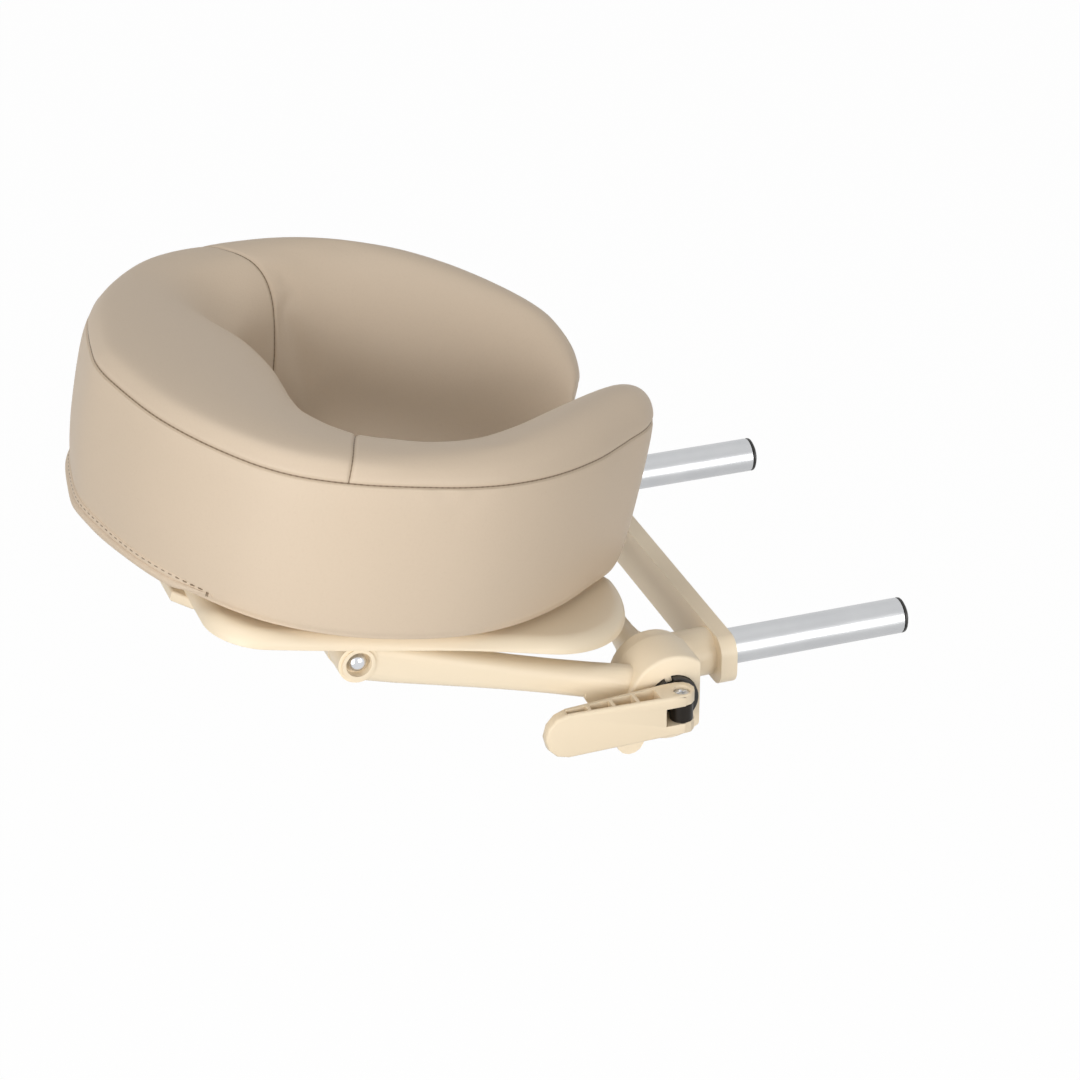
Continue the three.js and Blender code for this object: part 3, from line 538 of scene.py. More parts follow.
@dataclass(frozen=True)
class Finish:
    """A finish: the group that draws it, the group's values and the shader's plain values."""

    name: str
    group: Callable[[], Tree]
    colours: dict[str, Triple]
    numbers: dict[str, float]
    bump: float
    depth: float
    shader: dict[str, float]
    # Colour of the painted shade in the seams' grooves and stitch holes, or None for none
    seam_shade_colour: Optional[Triple] = None

    def make(self) -> bpy.types.Material:
        """Builds the material, or returns the one already built."""
        label = f"{self.name}_finish"
        if label in bpy.data.materials:
            return bpy.data.materials[label]
        material = bpy.data.materials.new(label)
        material.use_nodes = True
        board = NodeBoard(material.node_tree)
        values = {key: linear(value) for key, value in self.colours.items()} | self.numbers
        skin = board.add("ShaderNodeGroup", values, node_tree=self.group()).outputs
        colour = skin["Colour"]
        # Lays the seams' painted shade over the skin's own colour
        if self.seam_shade_colour is not None:
            line = board.add("ShaderNodeGroup", node_tree=seam_shade_line())
            colour = board.blend(line.outputs["Mask"], colour, linear(self.seam_shade_colour))
        relief = {"Strength": self.bump, "Distance": self.depth, "Height": skin["Height"]}
        normal = board.add("ShaderNodeBump", relief).outputs[0]
        fed = {"Base Color": colour, "Roughness": skin["Roughness"], "Normal": normal}
        shader = material.node_tree.nodes["Principled BSDF"]
        for key, value in (self.shader | fed).items():
            board.feed(shader.inputs[key], value)
        return material


# The cover's seams take painted shade of (120, 101, 80) in their grooves and stitch holes
COVER_VINYL = Finish(
    "cover_vinyl",
    hide_grain,
    {"Colour": (222, 204, 182), "Deep": (214, 195, 172), "Warm": (223, 204, 181)},
    {"Cell scale": 950.0, "Mottle": 0.2, "Smooth": 0.42, "Rough": 0.58},
    bump=0.12, depth=0.0004, shader={"Specular IOR Level": 0.3}, seam_shade_colour=(120, 101, 80),
)
# The hem's vinyl has no painted seam shade
HEM_VINYL = replace(COVER_VINYL, name="hem_vinyl", seam_shade_colour=None)
# The thread's darker tan is partly its own colour and partly painted shade of the stitch holes
SEWING_THREAD = Finish(
    "sewing_thread",
    worked_metal,
    {"Colour": (146, 127, 104), "Stain": (120, 102, 82)},
    {"Line scale": 5000.0, "Smooth": 0.6, "Rough": 0.8},
    bump=0.4, depth=0.0003, shader={"Metallic": 0.0, "Sheen Weight": 0.2},
)
CREAM_PLASTIC = Finish(
    "cream_plastic",
    moulded_skin,
    {"Colour": (252, 237, 211), "Tint": (248, 228, 196)},
    {"Grain scale": 1600.0, "Drift": 0.35, "Smooth": 0.34, "Rough": 0.46},
    bump=0.05, depth=0.0004,
    shader={"Specular IOR Level": 0.32, "Coat Weight": 0.03, "Coat Roughness": 0.3},
)
LEVER_PLASTIC = Finish(
    "lever_plastic",
    moulded_skin,
    {"Colour": (247, 231, 204), "Tint": (242, 221, 188)},
    {"Grain scale": 1900.0, "Drift": 0.3, "Smooth": 0.4, "Rough": 0.52},
    bump=0.07, depth=0.0004,
    shader={"Specular IOR Level": 0.3, "Coat Weight": 0.02, "Coat Roughness": 0.35},
)
BLACK_PLASTIC = Finish(
    "black_plastic",
    moulded_skin,
    {"Colour": (24, 22, 20), "Tint": (40, 37, 33)},
    {"Grain scale": 1500.0, "Drift": 0.4, "Smooth": 0.3, "Rough": 0.45},
    bump=0.08, depth=0.0004, shader={"Specular IOR Level": 0.5},
)
ZINC_STEEL = Finish(
    "zinc_steel",
    worked_metal,
    {"Colour": (204, 205, 206), "Stain": (170, 172, 176)},
    {"Line scale": 1400.0, "Smooth": 0.24, "Rough": 0.42},
    bump=0.12, depth=0.0002, shader={"Metallic": 1.0},
)
CHROME_STEEL = Finish(
    "chrome_steel",
    worked_metal,
    {"Colour": (222, 223, 226), "Stain": (196, 198, 202)},
    {"Line scale": 500.0, "Smooth": 0.06, "Rough": 0.14},
    bump=0.02, depth=0.0002, shader={"Metallic": 1.0},
)
BLACK_OXIDE = Finish(
    "black_oxide_steel",
    worked_metal,
    {"Colour": (50, 46, 42), "Stain": (30, 27, 24)},
    {"Line scale": 1200.0, "Smooth": 0.32, "Rough": 0.5},
    bump=0.1, depth=0.0002, shader={"Metallic": 0.85},
)
FRICTION_FIBRE = Finish(
    "friction_fibre",
    standing_pile,
    {"Colour": (110, 94, 78), "Shade": (72, 60, 48)},
    {"Tuft scale": 1400.0},
    bump=0.3, depth=0.0003, shader={"Specular IOR Level": 0.2},
)
GRIP_PILE = Finish(
    "grip_pile",
    standing_pile,
    {"Colour": (168, 152, 128), "Shade": (118, 102, 80)},
    {"Tuft scale": 1100.0},
    bump=0.9, depth=0.0008,
    shader={"Specular IOR Level": 0.2, "Sheen Weight": 0.4, "Sheen Roughness": 0.6},
)
FINISH_OF_SLOT = {
    Slot.CREAM: CREAM_PLASTIC,
    Slot.LEVER: LEVER_PLASTIC,
    Slot.BLACK: BLACK_PLASTIC,
    Slot.BLACK_STEEL: BLACK_OXIDE,
    Slot.ZINC: ZINC_STEEL,
    Slot.CHROME: CHROME_STEEL,
    Slot.FIBRE: FRICTION_FIBRE,
    Slot.PILE: GRIP_PILE,
    Slot.COVER: COVER_VINYL,
}


# Where the sub-assemblies stand
@dataclass(frozen=True)
class Stance:
    """The cradle's rest position, in millimetres and degrees."""

    hub_setback: float = 44.5
    arm_length: float = 172.0
    arm_rise: float = 17.0
    platform_tilt: float = 12.3
    pad_ahead: float = 20.0
    pad_aside: float = 9.8
    pad_height: float = 19.9
    pad_turn: float = 2.8

    def base(self) -> Matrix:
        """Frame at the hub axis, level."""
        return Matrix.Translation((-self.hub_setback * MM, 0, 0))

    def arms(self) -> Matrix:
        """Frame at the hub axis, turned with the arms."""
        return self.base() @ Matrix.Rotation(math.radians(self.arm_rise), 4, "Y")

    def platform(self) -> Matrix:
        """Frame at the pivot bolts, tilted with the platform."""
        rise = math.radians(self.arm_rise)
        x = -self.hub_setback - self.arm_length * math.cos(rise)
        z = self.arm_length * math.sin(rise)
        tilt = Matrix.Rotation(math.radians(self.platform_tilt), 4, "Y")
        return Matrix.Translation((x * MM, 0, z * MM)) @ tilt

    def pad(self) -> Matrix:
        """Frame at the centre of the cushion's underside, askew as it was set down."""
        place = (self.pad_ahead * MM, -self.pad_aside * MM, self.pad_height * MM)
        turn = Matrix.Rotation(math.radians(self.pad_turn), 4, "Z")
        return self.platform() @ Matrix.Translation(place) @ turn


STANCE = Stance()


def carried(points: Array, stand: Matrix) -> Array:
    """Millimetre points of a sub-assembly as metre points in the object's frame."""
    turn = np.array(stand.to_3x3())
    return (points.reshape(-1, 3) * MM) @ turn.T + np.array(stand.translation)


# Cushion
# Settings of the cloth that the air swells
AIR = {
    "quality": 5,
    "mass": 0.3,
    "tension_stiffness": 20,
    "compression_stiffness": 20,
    "shear_stiffness": 8,
    "bending_stiffness": 3,
    "use_pressure": True,
    "uniform_pressure_force": 4,
}


@dataclass
class CushionCover:
    """The stuffed cover: crown panel, two cheek panels and the boxed side, in millimetres."""

    reach: float = 138.6
    half_width: float = 143.5
    seam_height: float = 83.0
    dome_full_width: float = 70.0
    near_seam: Pair = (0.345, 0.325)
    far_seam: Pair = (0.355, 0.4)
    seam_window: float = 0.06
    dome_blend_share: float = 0.1
    seam_depth: float = 0.9
    seam_width: float = 1.1
    panel_seam_depth: float = 1.1
    panel_pull: float = 0.4
    swell_cap: float = 4.0
    seam_row: float = 8.0
    seam_step: float = 0.11
    seam_rows: int = 4
    top_row: float = 16.0
    top_end: Pair = (16.6, 17.4)
    rim_hold: float = 0.35
    panel_hold: float = 0.012
    least_hold: float = 0.3
    air_frames: int = 20
    beside_seam: tuple[float, ...] = (0.0, 0.0011, 0.0022, 0.0034, 0.005, 0.0075)
    seam_clear: float = 0.0105
    rim_pucker: Triple = (0.1, 4.0, 3.5)
    rim_waves: tuple[Triple, ...] = ((1, 4.1, 0), (0.6, 6.7, 1.3), (0.5, 2.9, 0.4))
    pull_width: float = 7.0
    panel_pucker: Triple = (0.09, 5.0, 4.0)
    panel_waves: tuple[Triple, ...] = ((1, 3.7, 0), (0.5, 5.9, 0.9))
    end_rings: tuple[Pair, ...] = ((0.93, 0.9), (0.8, 1.7), (0.55, 2.4), (0.25, 2.8))
    end_push: float = 2.9
    folds: tuple[tuple[float, float, float, float, float], ...] = (
        (-0.445, 7.0, 0.010, 0.9, 0.75), (-0.475, 6.7, -0.012, 1.1, 0.5),
        (-0.405, 6.9, 0.014, 0.8, 0.5), (-0.86, 6.2, 0.020, 1.3, 0.6),
        (-0.93, 5.4, 0.015, 1.1, 0.5), (0.44, 6.9, -0.010, 0.9, 0.6),
        (0.9, 6.0, -0.018, 1.2, 0.55), (-0.12, 6.8, 0.012, 0.9, 0.3),
        (0.2, 6.6, -0.012, 1.0, 0.3),
    )
    fold_width: float = 0.007
    corner_scoop: float = 15.0
    corner_place: float = 0.27
    corner_width: float = 0.1
    stations: int = 230
    section_points: int = 128
    near_dome: tuple[Pair, ...] = (
        (0, 8), (0.26, 8), (0.36, 11), (0.46, 14), (0.6, 19), (0.75, 24), (1, 24),
    )
    far_dome: tuple[Pair, ...] = (
        (0, 8), (0.24, 8), (0.36, 15), (0.46, 24), (0.6, 28), (0.75, 27), (1, 20),
    )
    far_drop: tuple[Pair, ...] = (
        (0, 0), (0.6, 0), (0.72, 2), (0.8, 6.5), (0.88, 14), (0.94, 18), (1, 22),
    )
    far_lean: tuple[Pair, ...] = ((0, 0), (0.66, 0), (0.83, 2), (1, 4))
    seam_outline: tuple[Pair, ...] = (
        (-1, 0), (-0.975, 0.18), (-0.905, 0.43), (-0.775, 0.66), (-0.585, 0.86), (-0.355, 0.965),
        (-0.12, 1), (0.15, 0.98), (0.405, 0.895), (0.65, 0.75), (0.85, 0.585), (1, 0.45),
        (1.06, 0.35), (1.055, 0.275), (1.01, 0.22),
    )
    hole_outline: tuple[Pair, ...] = (
        (-0.29, 0), (-0.3, 0.13), (-0.315, 0.27), (-0.315, 0.4), (-0.255, 0.51), (-0.14, 0.57),
        (0, 0.585), (0.145, 0.555), (0.285, 0.48), (0.425, 0.395), (0.585, 0.31), (0.75, 0.225),
        (0.88, 0.17), (0.955, 0.147), (0.99, 0.17),
    )
    crown_section: tuple[Triple, ...] = (
        (0.5, 0, 0), (0.12, 0, 0), (0.06, 0.03, 0), (0.03, 0.1, 0), (0, 0.33, 0),
        (-0.012, 0.6, 0), (-0.011, 0.82, 0), (0.001, 0.926, 0), (0.009, 0.952, 0),
        (0.024, 0.974, 0.27), (0.09, 1, 0.76),
        (0.25, 1, 1), (0.5, 1, 0.96), (0.72, 1, 0.78), (0.88, 0.985, 0.48), (0.962, 0.94, 0.12),
        (0.99, 0.8, 0), (1, 0.45, 0), (0.975, 0.08, 0), (0.9, 0, 0),
    )
    cheek_section: tuple[Triple, ...] = (
        (0.5, 0, 0), (0.12, 0, 0), (0.06, 0.03, 0), (0.03, 0.1, 0), (0, 0.33, 0),
        (-0.012, 0.62, 0), (-0.008, 0.86, 0), (0.008, 0.975, 0), (0.018, 1, 0.02),
        (0.05, 1.005, 0.32), (0.12, 1, 0.68),
        (0.23, 1, 0.92), (0.36, 1, 1), (0.5, 0.995, 0.93), (0.64, 0.965, 0.7), (0.78, 0.885, 0.38),
        (0.89, 0.71, 0.12), (0.965, 0.47, 0), (0.99, 0.22, 0), (0.93, 0.03, 0),
    )

    def outlines(self, station: Array) -> tuple[Array, Array]:
        """Seam and hole outlines: shares of reach and half width, mirrored for the near half."""
        size = np.array([self.reach, self.half_width])
        side = np.where(station < 0, -1.0, 1.0).reshape(-1, 1)
        rows = []
        for shares in (self.seam_outline, self.hole_outline):
            points = knotted_curve(np.array(shares, float) * size, np.abs(station).ravel(), True)
            points = points * np.hstack([np.ones_like(side), side])
            rows.append(points.reshape(*station.shape, 2))
        return rows[0], rows[1]

    def seam_stations(self) -> Pair:
        """Mean stations of the near and the far panel seam."""
        return -sum(self.near_seam) / 2, sum(self.far_seam) / 2

    def slanted(self, station: Array, turn: Array) -> Array:
        """Stations moved so that a row follows each panel seam from the rim in to the hole.

        The move is the seam's own slant times a bell of the distance from the seam's station.
        """
        across = looped_curve(np.array(self.crown_section, float), turn)[:, 0]
        across = np.clip(across, 0, 1)[None, :]
        moved = np.repeat(station[:, None], len(turn), axis=1)
        seams = ((-1, self.near_seam), (1, self.far_seam))
        for middle, (side, ends) in zip(self.seam_stations(), seams):
            line = side * (ends[0] + (ends[1] - ends[0]) * across)
            moved = moved + (line - middle) * bell(station, middle, self.seam_window)[:, None]
        return moved

    def skin(self, station: Array, turn: Array) -> Array:
        """The cover as a grid over station and turn.

        Each point is the seam outline moved across to the hole outline by the section's first
        share, at the section's height share times the seam height plus its rise share times the
        dome. The far tip then drops and leans in by amounts that grow with height, and the crown's
        far inner corner rolls down by a bell along the station times a smooth step across.

        Args:
            station: Places from the near tip at -1 to the far tip at 1.
            turn: Places round the section, in steps of its points.

        Returns:
            Array of stations by turns by 3, in the pad's frame.
        """
        place = self.slanted(station, turn)
        outer, inner = self.outlines(place)
        share = np.abs(place)
        near = place < 0
        seam = np.where(near, sum(self.near_seam) / 2, sum(self.far_seam) / 2)
        reach = self.dome_blend_share
        blend = smoothstep(share - seam, -reach, reach)[..., None]
        crown = looped_curve(np.array(self.crown_section, float), turn)[None]
        cheek = looped_curve(np.array(self.cheek_section, float), turn)[None]
        section = crown + (cheek - crown) * blend
        dome = np.where(near, eased_table(self.near_dome, share), eased_table(self.far_dome, share))
        dome = dome * smoothstep(np.linalg.norm(outer - inner, axis=-1), 0.0, self.dome_full_width)
        plan = outer + (inner - outer) * section[..., 0:1]
        height = np.maximum(section[..., 1] * self.seam_height + section[..., 2] * dome, 0.0)
        high = np.clip(height / self.seam_height, 0.0, 1.2)
        drop = np.where(near, 0.0, eased_table(self.far_drop, share)) * high
        lean = np.where(near, 0.0, eased_table(self.far_lean, share)) * high
        scoop = self.corner_scoop * bell(place, self.corner_place, self.corner_width)
        scoop = scoop * smoothstep(section[..., 0], 0.4, 1.0) * high
        return np.stack([plan[..., 0], plan[..., 1] - lean, height - drop - scoop], axis=-1)

    def swelling(self) -> tuple[Array, Array, Array]:
        """Blows the cover up with air held at its seams and underside.

        Returns:
            The coarse stations and turns and the shift of each coarse point, in millimetres.
        """
        station = np.linspace(-1, 1, 117)
        turn = np.linspace(0, len(self.crown_section), 60, endpoint=False)
        grid = self.skin(station, turn)
        rows, columns = grid.shape[:2]
        hubs = np.stack([grid[0].mean(axis=0), grid[-1].mean(axis=0)])
        points = np.vstack([grid.reshape(-1, 3), hubs]) * MM
        mesh = to_mesh("swelling", points, capped_faces(rows, columns))
        work = bpy.data.objects.new("swelling", mesh)
        bpy.context.scene.collection.objects.link(work)
        under = (grid[:, :, 2] < 1.0) * 1.0
        hold = np.maximum(under, bell(turn, self.seam_row, self.rim_hold)[None, :])
        top = (turn > self.seam_row) & (turn < self.top_row)
        for seam in self.seam_stations():
            hold = np.maximum(hold, bell(station, seam, self.panel_hold)[:, None] * top[None, :])
        hold = np.where(hold > self.least_hold, hold, 0.0)
        pins = work.vertex_groups.new(name="held")
        weights = np.round(np.append(hold.ravel(), (1.0, 1.0)), 2)
        for level in np.unique(weights[weights > 0]):
            pins.add(np.flatnonzero(weights == level).tolist(), float(level), "REPLACE")
        cloth = work.modifiers.new("air", "CLOTH")
        for key, value in AIR.items():
            setattr(cloth.settings, key, value)
        cloth.settings.effector_weights.gravity = 0
        cloth.settings.vertex_group_mass = "held"
        cloth.collision_settings.use_collision = False
        scene = bpy.context.scene
        cloth.point_cache.frame_start, cloth.point_cache.frame_end = 1, self.air_frames
        for step in range(self.air_frames):
            scene.frame_set(step + 1)
        shaped = work.evaluated_get(bpy.context.evaluated_depsgraph_get()).to_mesh()
        moved = np.empty(len(shaped.vertices) * 3)
        shaped.vertices.foreach_get("co", moved)
        shift = (moved.reshape(-1, 3) - points)[:-2] / MM
        work.to_mesh_clear()
        work.modifiers.remove(cloth)
        bpy.data.objects.remove(work)
        scene.frame_set(1)
        length = np.linalg.norm(shift, axis=1, keepdims=True)
        LOG.info("cloth moved points by up to %.1f mm, mean %.2f mm", length.max(), length.mean())
        shift *= np.minimum(1.0, self.swell_cap / np.maximum(length, 1e-9))
        return station, turn, shift.reshape(rows, columns, 3)

    def fine_places(self) -> tuple[Array, Array]:
        """Stations and turns of the finished grid, closer together beside the seams."""
        station = np.linspace(-1, 1, self.stations)
        steps = np.array(self.beside_seam)
        beside = np.concatenate([steps, -steps[1:]])
        for seam in self.seam_stations():
            station = station[np.abs(station - seam) > self.seam_clear]
            station = np.concatenate([station, seam + beside])
        turn = np.linspace(0, len(self.crown_section), self.section_points, endpoint=False)
        turn = turn[np.abs(turn - self.seam_row) > (self.seam_rows + 0.2) * self.seam_step]
        rows = np.arange(-self.seam_rows, self.seam_rows + 1)
        turn = np.concatenate([turn, self.seam_row + self.seam_step * rows])
        return np.unique(station), np.unique(turn)

    def settled(self, station: Array, turn: Array) -> Array:
        """The swollen skin: the plain skin plus the coarse shift, read between its points."""
        grid = self.skin(station, turn)
        s0, t0, shift = self.swelling()
        t0 = np.append(t0, len(self.crown_section))
        shift = np.concatenate([shift, shift[:, :1]], axis=1)
        row = np.interp(station, s0, np.arange(len(s0)))
        column = np.interp(turn, t0, np.arange(len(t0)))
        i = np.minimum(row.astype(int), len(s0) - 2)
        j = np.minimum(column.astype(int), len(t0) - 2)
        a = (row - i)[:, None, None]
        b = (column - j)[None, :, None]
        i, j = i[:, None], j[None, :]
        mixed = (1 - a) * ((1 - b) * shift[i, j] + b * shift[i, j + 1])
        mixed = mixed + a * ((1 - b) * shift[i + 1, j] + b * shift[i + 1, j + 1])
        return grid + mixed

    def sewn(self, grid: Array, station: Array, turn: Array) -> tuple[Array, Array, Array]:
        """Draws the seams in and leaves the pull marks of the thread beside them.

        The depth of each seam is a narrow bell across it; the pull marks are a wider bell times
        a sum of sines along it, and the wrinkles are bells along short lines under seam ends.

        Args:
            grid: The settled skin.
            station: Its stations.
            turn: Its turns.

        Returns:
            The sewn skin, each point's distance from the nearest seam and its place along that
            seam, both in millimetres.
        """
        normal = point_normals(grid)
        column = int(np.argmin(np.abs(turn - self.seam_row)))
        from_rim = np.linalg.norm(grid - grid[:, column : column + 1], axis=2)
        along = run_length(grid[:, column])[:, None] + 0 * from_rim
        depth = self.seam_depth * bell(from_rim, 0.0, self.seam_width)
        height, *where = self.rim_pucker
        depth = depth + height * self.waves(along, self.rim_waves) * bell(from_rim, *where)
        nearest, run = from_rim, along
        top = smoothstep(turn, self.seam_row - 0.02, self.seam_row + 0.02)
        top = top * (1 - smoothstep(turn, *self.top_end))
        for seam in self.seam_stations():
            row = int(np.argmin(np.abs(station - seam)))
            away = np.linalg.norm(grid - grid[row : row + 1], axis=2)
            line = run_length(grid[row])[None, :] + 0 * away
            groove = self.panel_seam_depth * bell(away, 0.0, self.seam_width) * top
            pull = self.panel_pull * bell(away, 0.0, self.pull_width) * top
            height, *where = self.panel_pucker
            pucker = height * self.waves(line, self.panel_waves) * bell(away, *where) * top
            depth = np.maximum(depth, groove) + pull + pucker
            away = np.where(top > 0.5, away, OFF_SEAM)
            run = np.where(away < nearest, line, run)
            nearest = np.minimum(nearest, away)
        depth = depth + self.wrinkles(station, turn)
        return grid - normal * depth[:, :, None], nearest, run

    def waves(self, along: Array, rows: Sequence[Triple]) -> Array:
        """Sum of sines, each of a height, a length over a full turn and a phase."""
        return sum(height * np.sin(along / length + phase) for height, length, phase in rows)

    def wrinkles(self, station: Array, turn: Array) -> Array:
        """Shallow folds: each a bell across a slanting line that fades at both ends."""
        total = np.zeros((len(station), len(turn)))
        for middle, height, slant, reach, depth in self.folds:
            line = middle + slant * (turn - height)
            across = bell(station[:, None] - line[None, :], 0.0, self.fold_width)
            total += depth * across * bell(turn, height, reach)[None, :]
        return total

    def build(self, shop: Workshop) -> None:
        """Makes the cushion's cover, with rounded ends, and puts it on the pad."""
        station, turn = self.fine_places()
        grid, distance, run = self.sewn(self.settled(station, turn), station, turn)
        rows, columns = grid.shape[:2]
        ends, hubs = [], []
        for ring, before in ((grid[0], grid[2]), (grid[-1], grid[-3])):
            middle = ring.mean(axis=0)
            outward = middle - before.mean(axis=0)
            outward = outward / np.linalg.norm(outward)
            rings = (middle + (ring - middle) * a + outward * b for a, b in self.end_rings)
            ends.append(np.stack(list(rings)))
            hubs.append(middle + outward * self.end_push)
        body = np.concatenate([ends[0][::-1], grid, ends[1]])
        points = np.vstack([body.reshape(-1, 3), *hubs])
        faces = capped_faces(len(body), columns)
        mesh = to_mesh("cushion_cover", carried(points, STANCE.pad()), faces)
        # Distance from the nearest seam and place along it, which the material reads to lay the
        # seams' painted shade
        more = (len(self.end_rings), 1)
        for label, values in (("seam_distance", distance), ("seam_run", run)):
            full = np.vstack([np.tile(values[0], more), values, np.tile(values[-1], more)])
            full = np.append(full.ravel(), (OFF_SEAM, OFF_SEAM)).astype(np.float32)
            mesh.attributes.new(label, "FLOAT", "POINT").data.foreach_set("value", full)
        piece = shop.place(mesh, Body.PAD, Slot.COVER, COVER_VINYL.make(), ["cushion"])
        LOG.info("cushion cover: %d by %d points", rows, columns)


@dataclass
class ClosingHem:
    """The stitched hem that closes the cover under the crown, in millimetres."""

    cover: CushionCover = field(default_factory=CushionCover)
    near_share: float = 0.235
    far_share: float = 0.2
    foot_inset: float = 3.5
    foot_height: float = 6.4
    width: float = 5.0
    thickness: float = 1.3
    lean: float = 0.8
    lean_power: float = 1.4
    channel: float = 0.7
    lip_roll: float = 0.5
    roll_drop: float = 0.9
    end_share: float = 0.4
    end_taper: float = 0.05
    wave: Pair = (0.05, 61.0)
    rings: int = 160
    stitch_pitch: float = 4.7
    stitch_length: float = 2.9
    stitch_radius: float = 0.34
    stitch_drop: float = 0.3
    stitch_margin: float = 0.004
    tack_length: float = 2.6
    tack_pitch: float = 0.8

    def path(self, station: Array) -> tuple[Array, Array]:
        """Root of the hem and its outward way at each station: the seam outline moved inwards."""
        outer, _ = self.cover.outlines(station)
        along = np.gradient(outer, axis=0)
        outward = np.stack([-along[:, 1], along[:, 0]], axis=1)
        outward = outward / np.linalg.norm(outward, axis=1, keepdims=True)
        return outer - outward * self.foot_inset, outward

    def build(self, shop: Workshop) -> None:
        """Makes the folded band: a doubled lip carried along the crown's foot.

        The section is a thin loop that hangs from the foot, leans out and ends in a roll; a
        shallow channel along its outer face shows its two layers. It narrows at both ends.
        """
        station = np.linspace(-self.near_share, self.far_share, self.rings)
        root, outward = self.path(station)
        t = np.linspace(0, 1, 17)
        leaning, hanging = self.lean * t**self.lean_power, -self.width * t
        layers = self.lip_roll * bell(t, 0.78, 0.16) - self.channel * bell(t, 0.45, 0.08)
        outer_face = np.stack([self.thickness + leaning + layers, hanging], axis=1)
        a = np.linspace(0.15, math.pi - 0.15, 7)
        half = self.thickness / 2
        roll = [half + self.lean + half * np.cos(a), -self.width - self.roll_drop * np.sin(a)]
        inner_face = np.stack([leaning, hanging], axis=1)[::-1]
        top = np.array([[-0.8, 0.9], [0.1, 0.9], [self.thickness * 0.55, 0.55]])
        section = np.vstack([outer_face, np.stack(roll, axis=1), inner_face, top])
        to_end = np.minimum(station + self.near_share, self.far_share - station)
        full = smoothstep(to_end, 0.0, self.end_taper)[:, None]
        full = self.end_share + (1 - self.end_share) * full
        wave = 1 + self.wave[0] * np.sin(station * self.wave[1])[:, None]
        out = section[None, :, 0] * (0.5 + 0.5 * full) - 0.9 * (1 - full)
        down = section[None, :, 1] * full * wave
        plan = root[:, None, :] + outward[:, None, :] * out[:, :, None]
        points = np.concatenate([plan, (self.foot_height + down)[:, :, None]], axis=2)
        faces = tube_faces(*points.shape[:2])
        mesh = to_mesh("closing_hem", carried(points, STANCE.pad()), faces)
        piece = shop.place(mesh, Body.PAD, Slot.COVER, HEM_VINYL.make(), ["closing_flap"])
        smooth_by_angle(piece, 60)
        LOG.info("closing hem: %d rings", self.rings)
        self.stitches(shop)

    def stitches(self, shop: Workshop) -> None:
        """Makes the row of stitches along the hem's top and a bar tack across each of its ends."""
        margin = self.stitch_margin
        dense = np.linspace(margin - self.near_share, self.far_share - margin, 1200)
        root, outward = self.path(dense)
        place = root + outward * (self.thickness * 0.9)
        run = run_length(place)
        ends = [self.tack_pitch * k for k in range(2)]
        ends = np.array(ends + [run[-1] - e for e in ends])
        middles = np.arange(self.stitch_pitch, run[-1] - self.stitch_pitch, self.stitch_pitch)
        sites = np.append(middles, ends)
        behind, centres, ahead = (
            np.stack([np.interp(sites + shift, run, place[:, k]) for k in range(2)], axis=1)
            for shift in (-1, 0, 1)
        )
        height = self.foot_height - self.stitch_drop
        centres = np.column_stack([centres, np.full(len(sites), height)])
        ways = np.column_stack([ahead - behind, np.zeros(len(sites))])
        ways[len(middles) :] = (0.0, 0.0, 1.0)
        centres[len(middles) :, 2] -= self.tack_length / 2
        length = np.repeat([self.stitch_length, self.tack_length], [len(middles), len(ends)])
        points, faces = beads(centres, ways, length, self.stitch_radius)
        mesh = to_mesh("hem_stitches", carried(points, STANCE.pad()), faces)
        shop.place(mesh, Body.PAD, Slot.COVER, SEWING_THREAD.make())
        LOG.info("hem stitches: %d", len(sites))


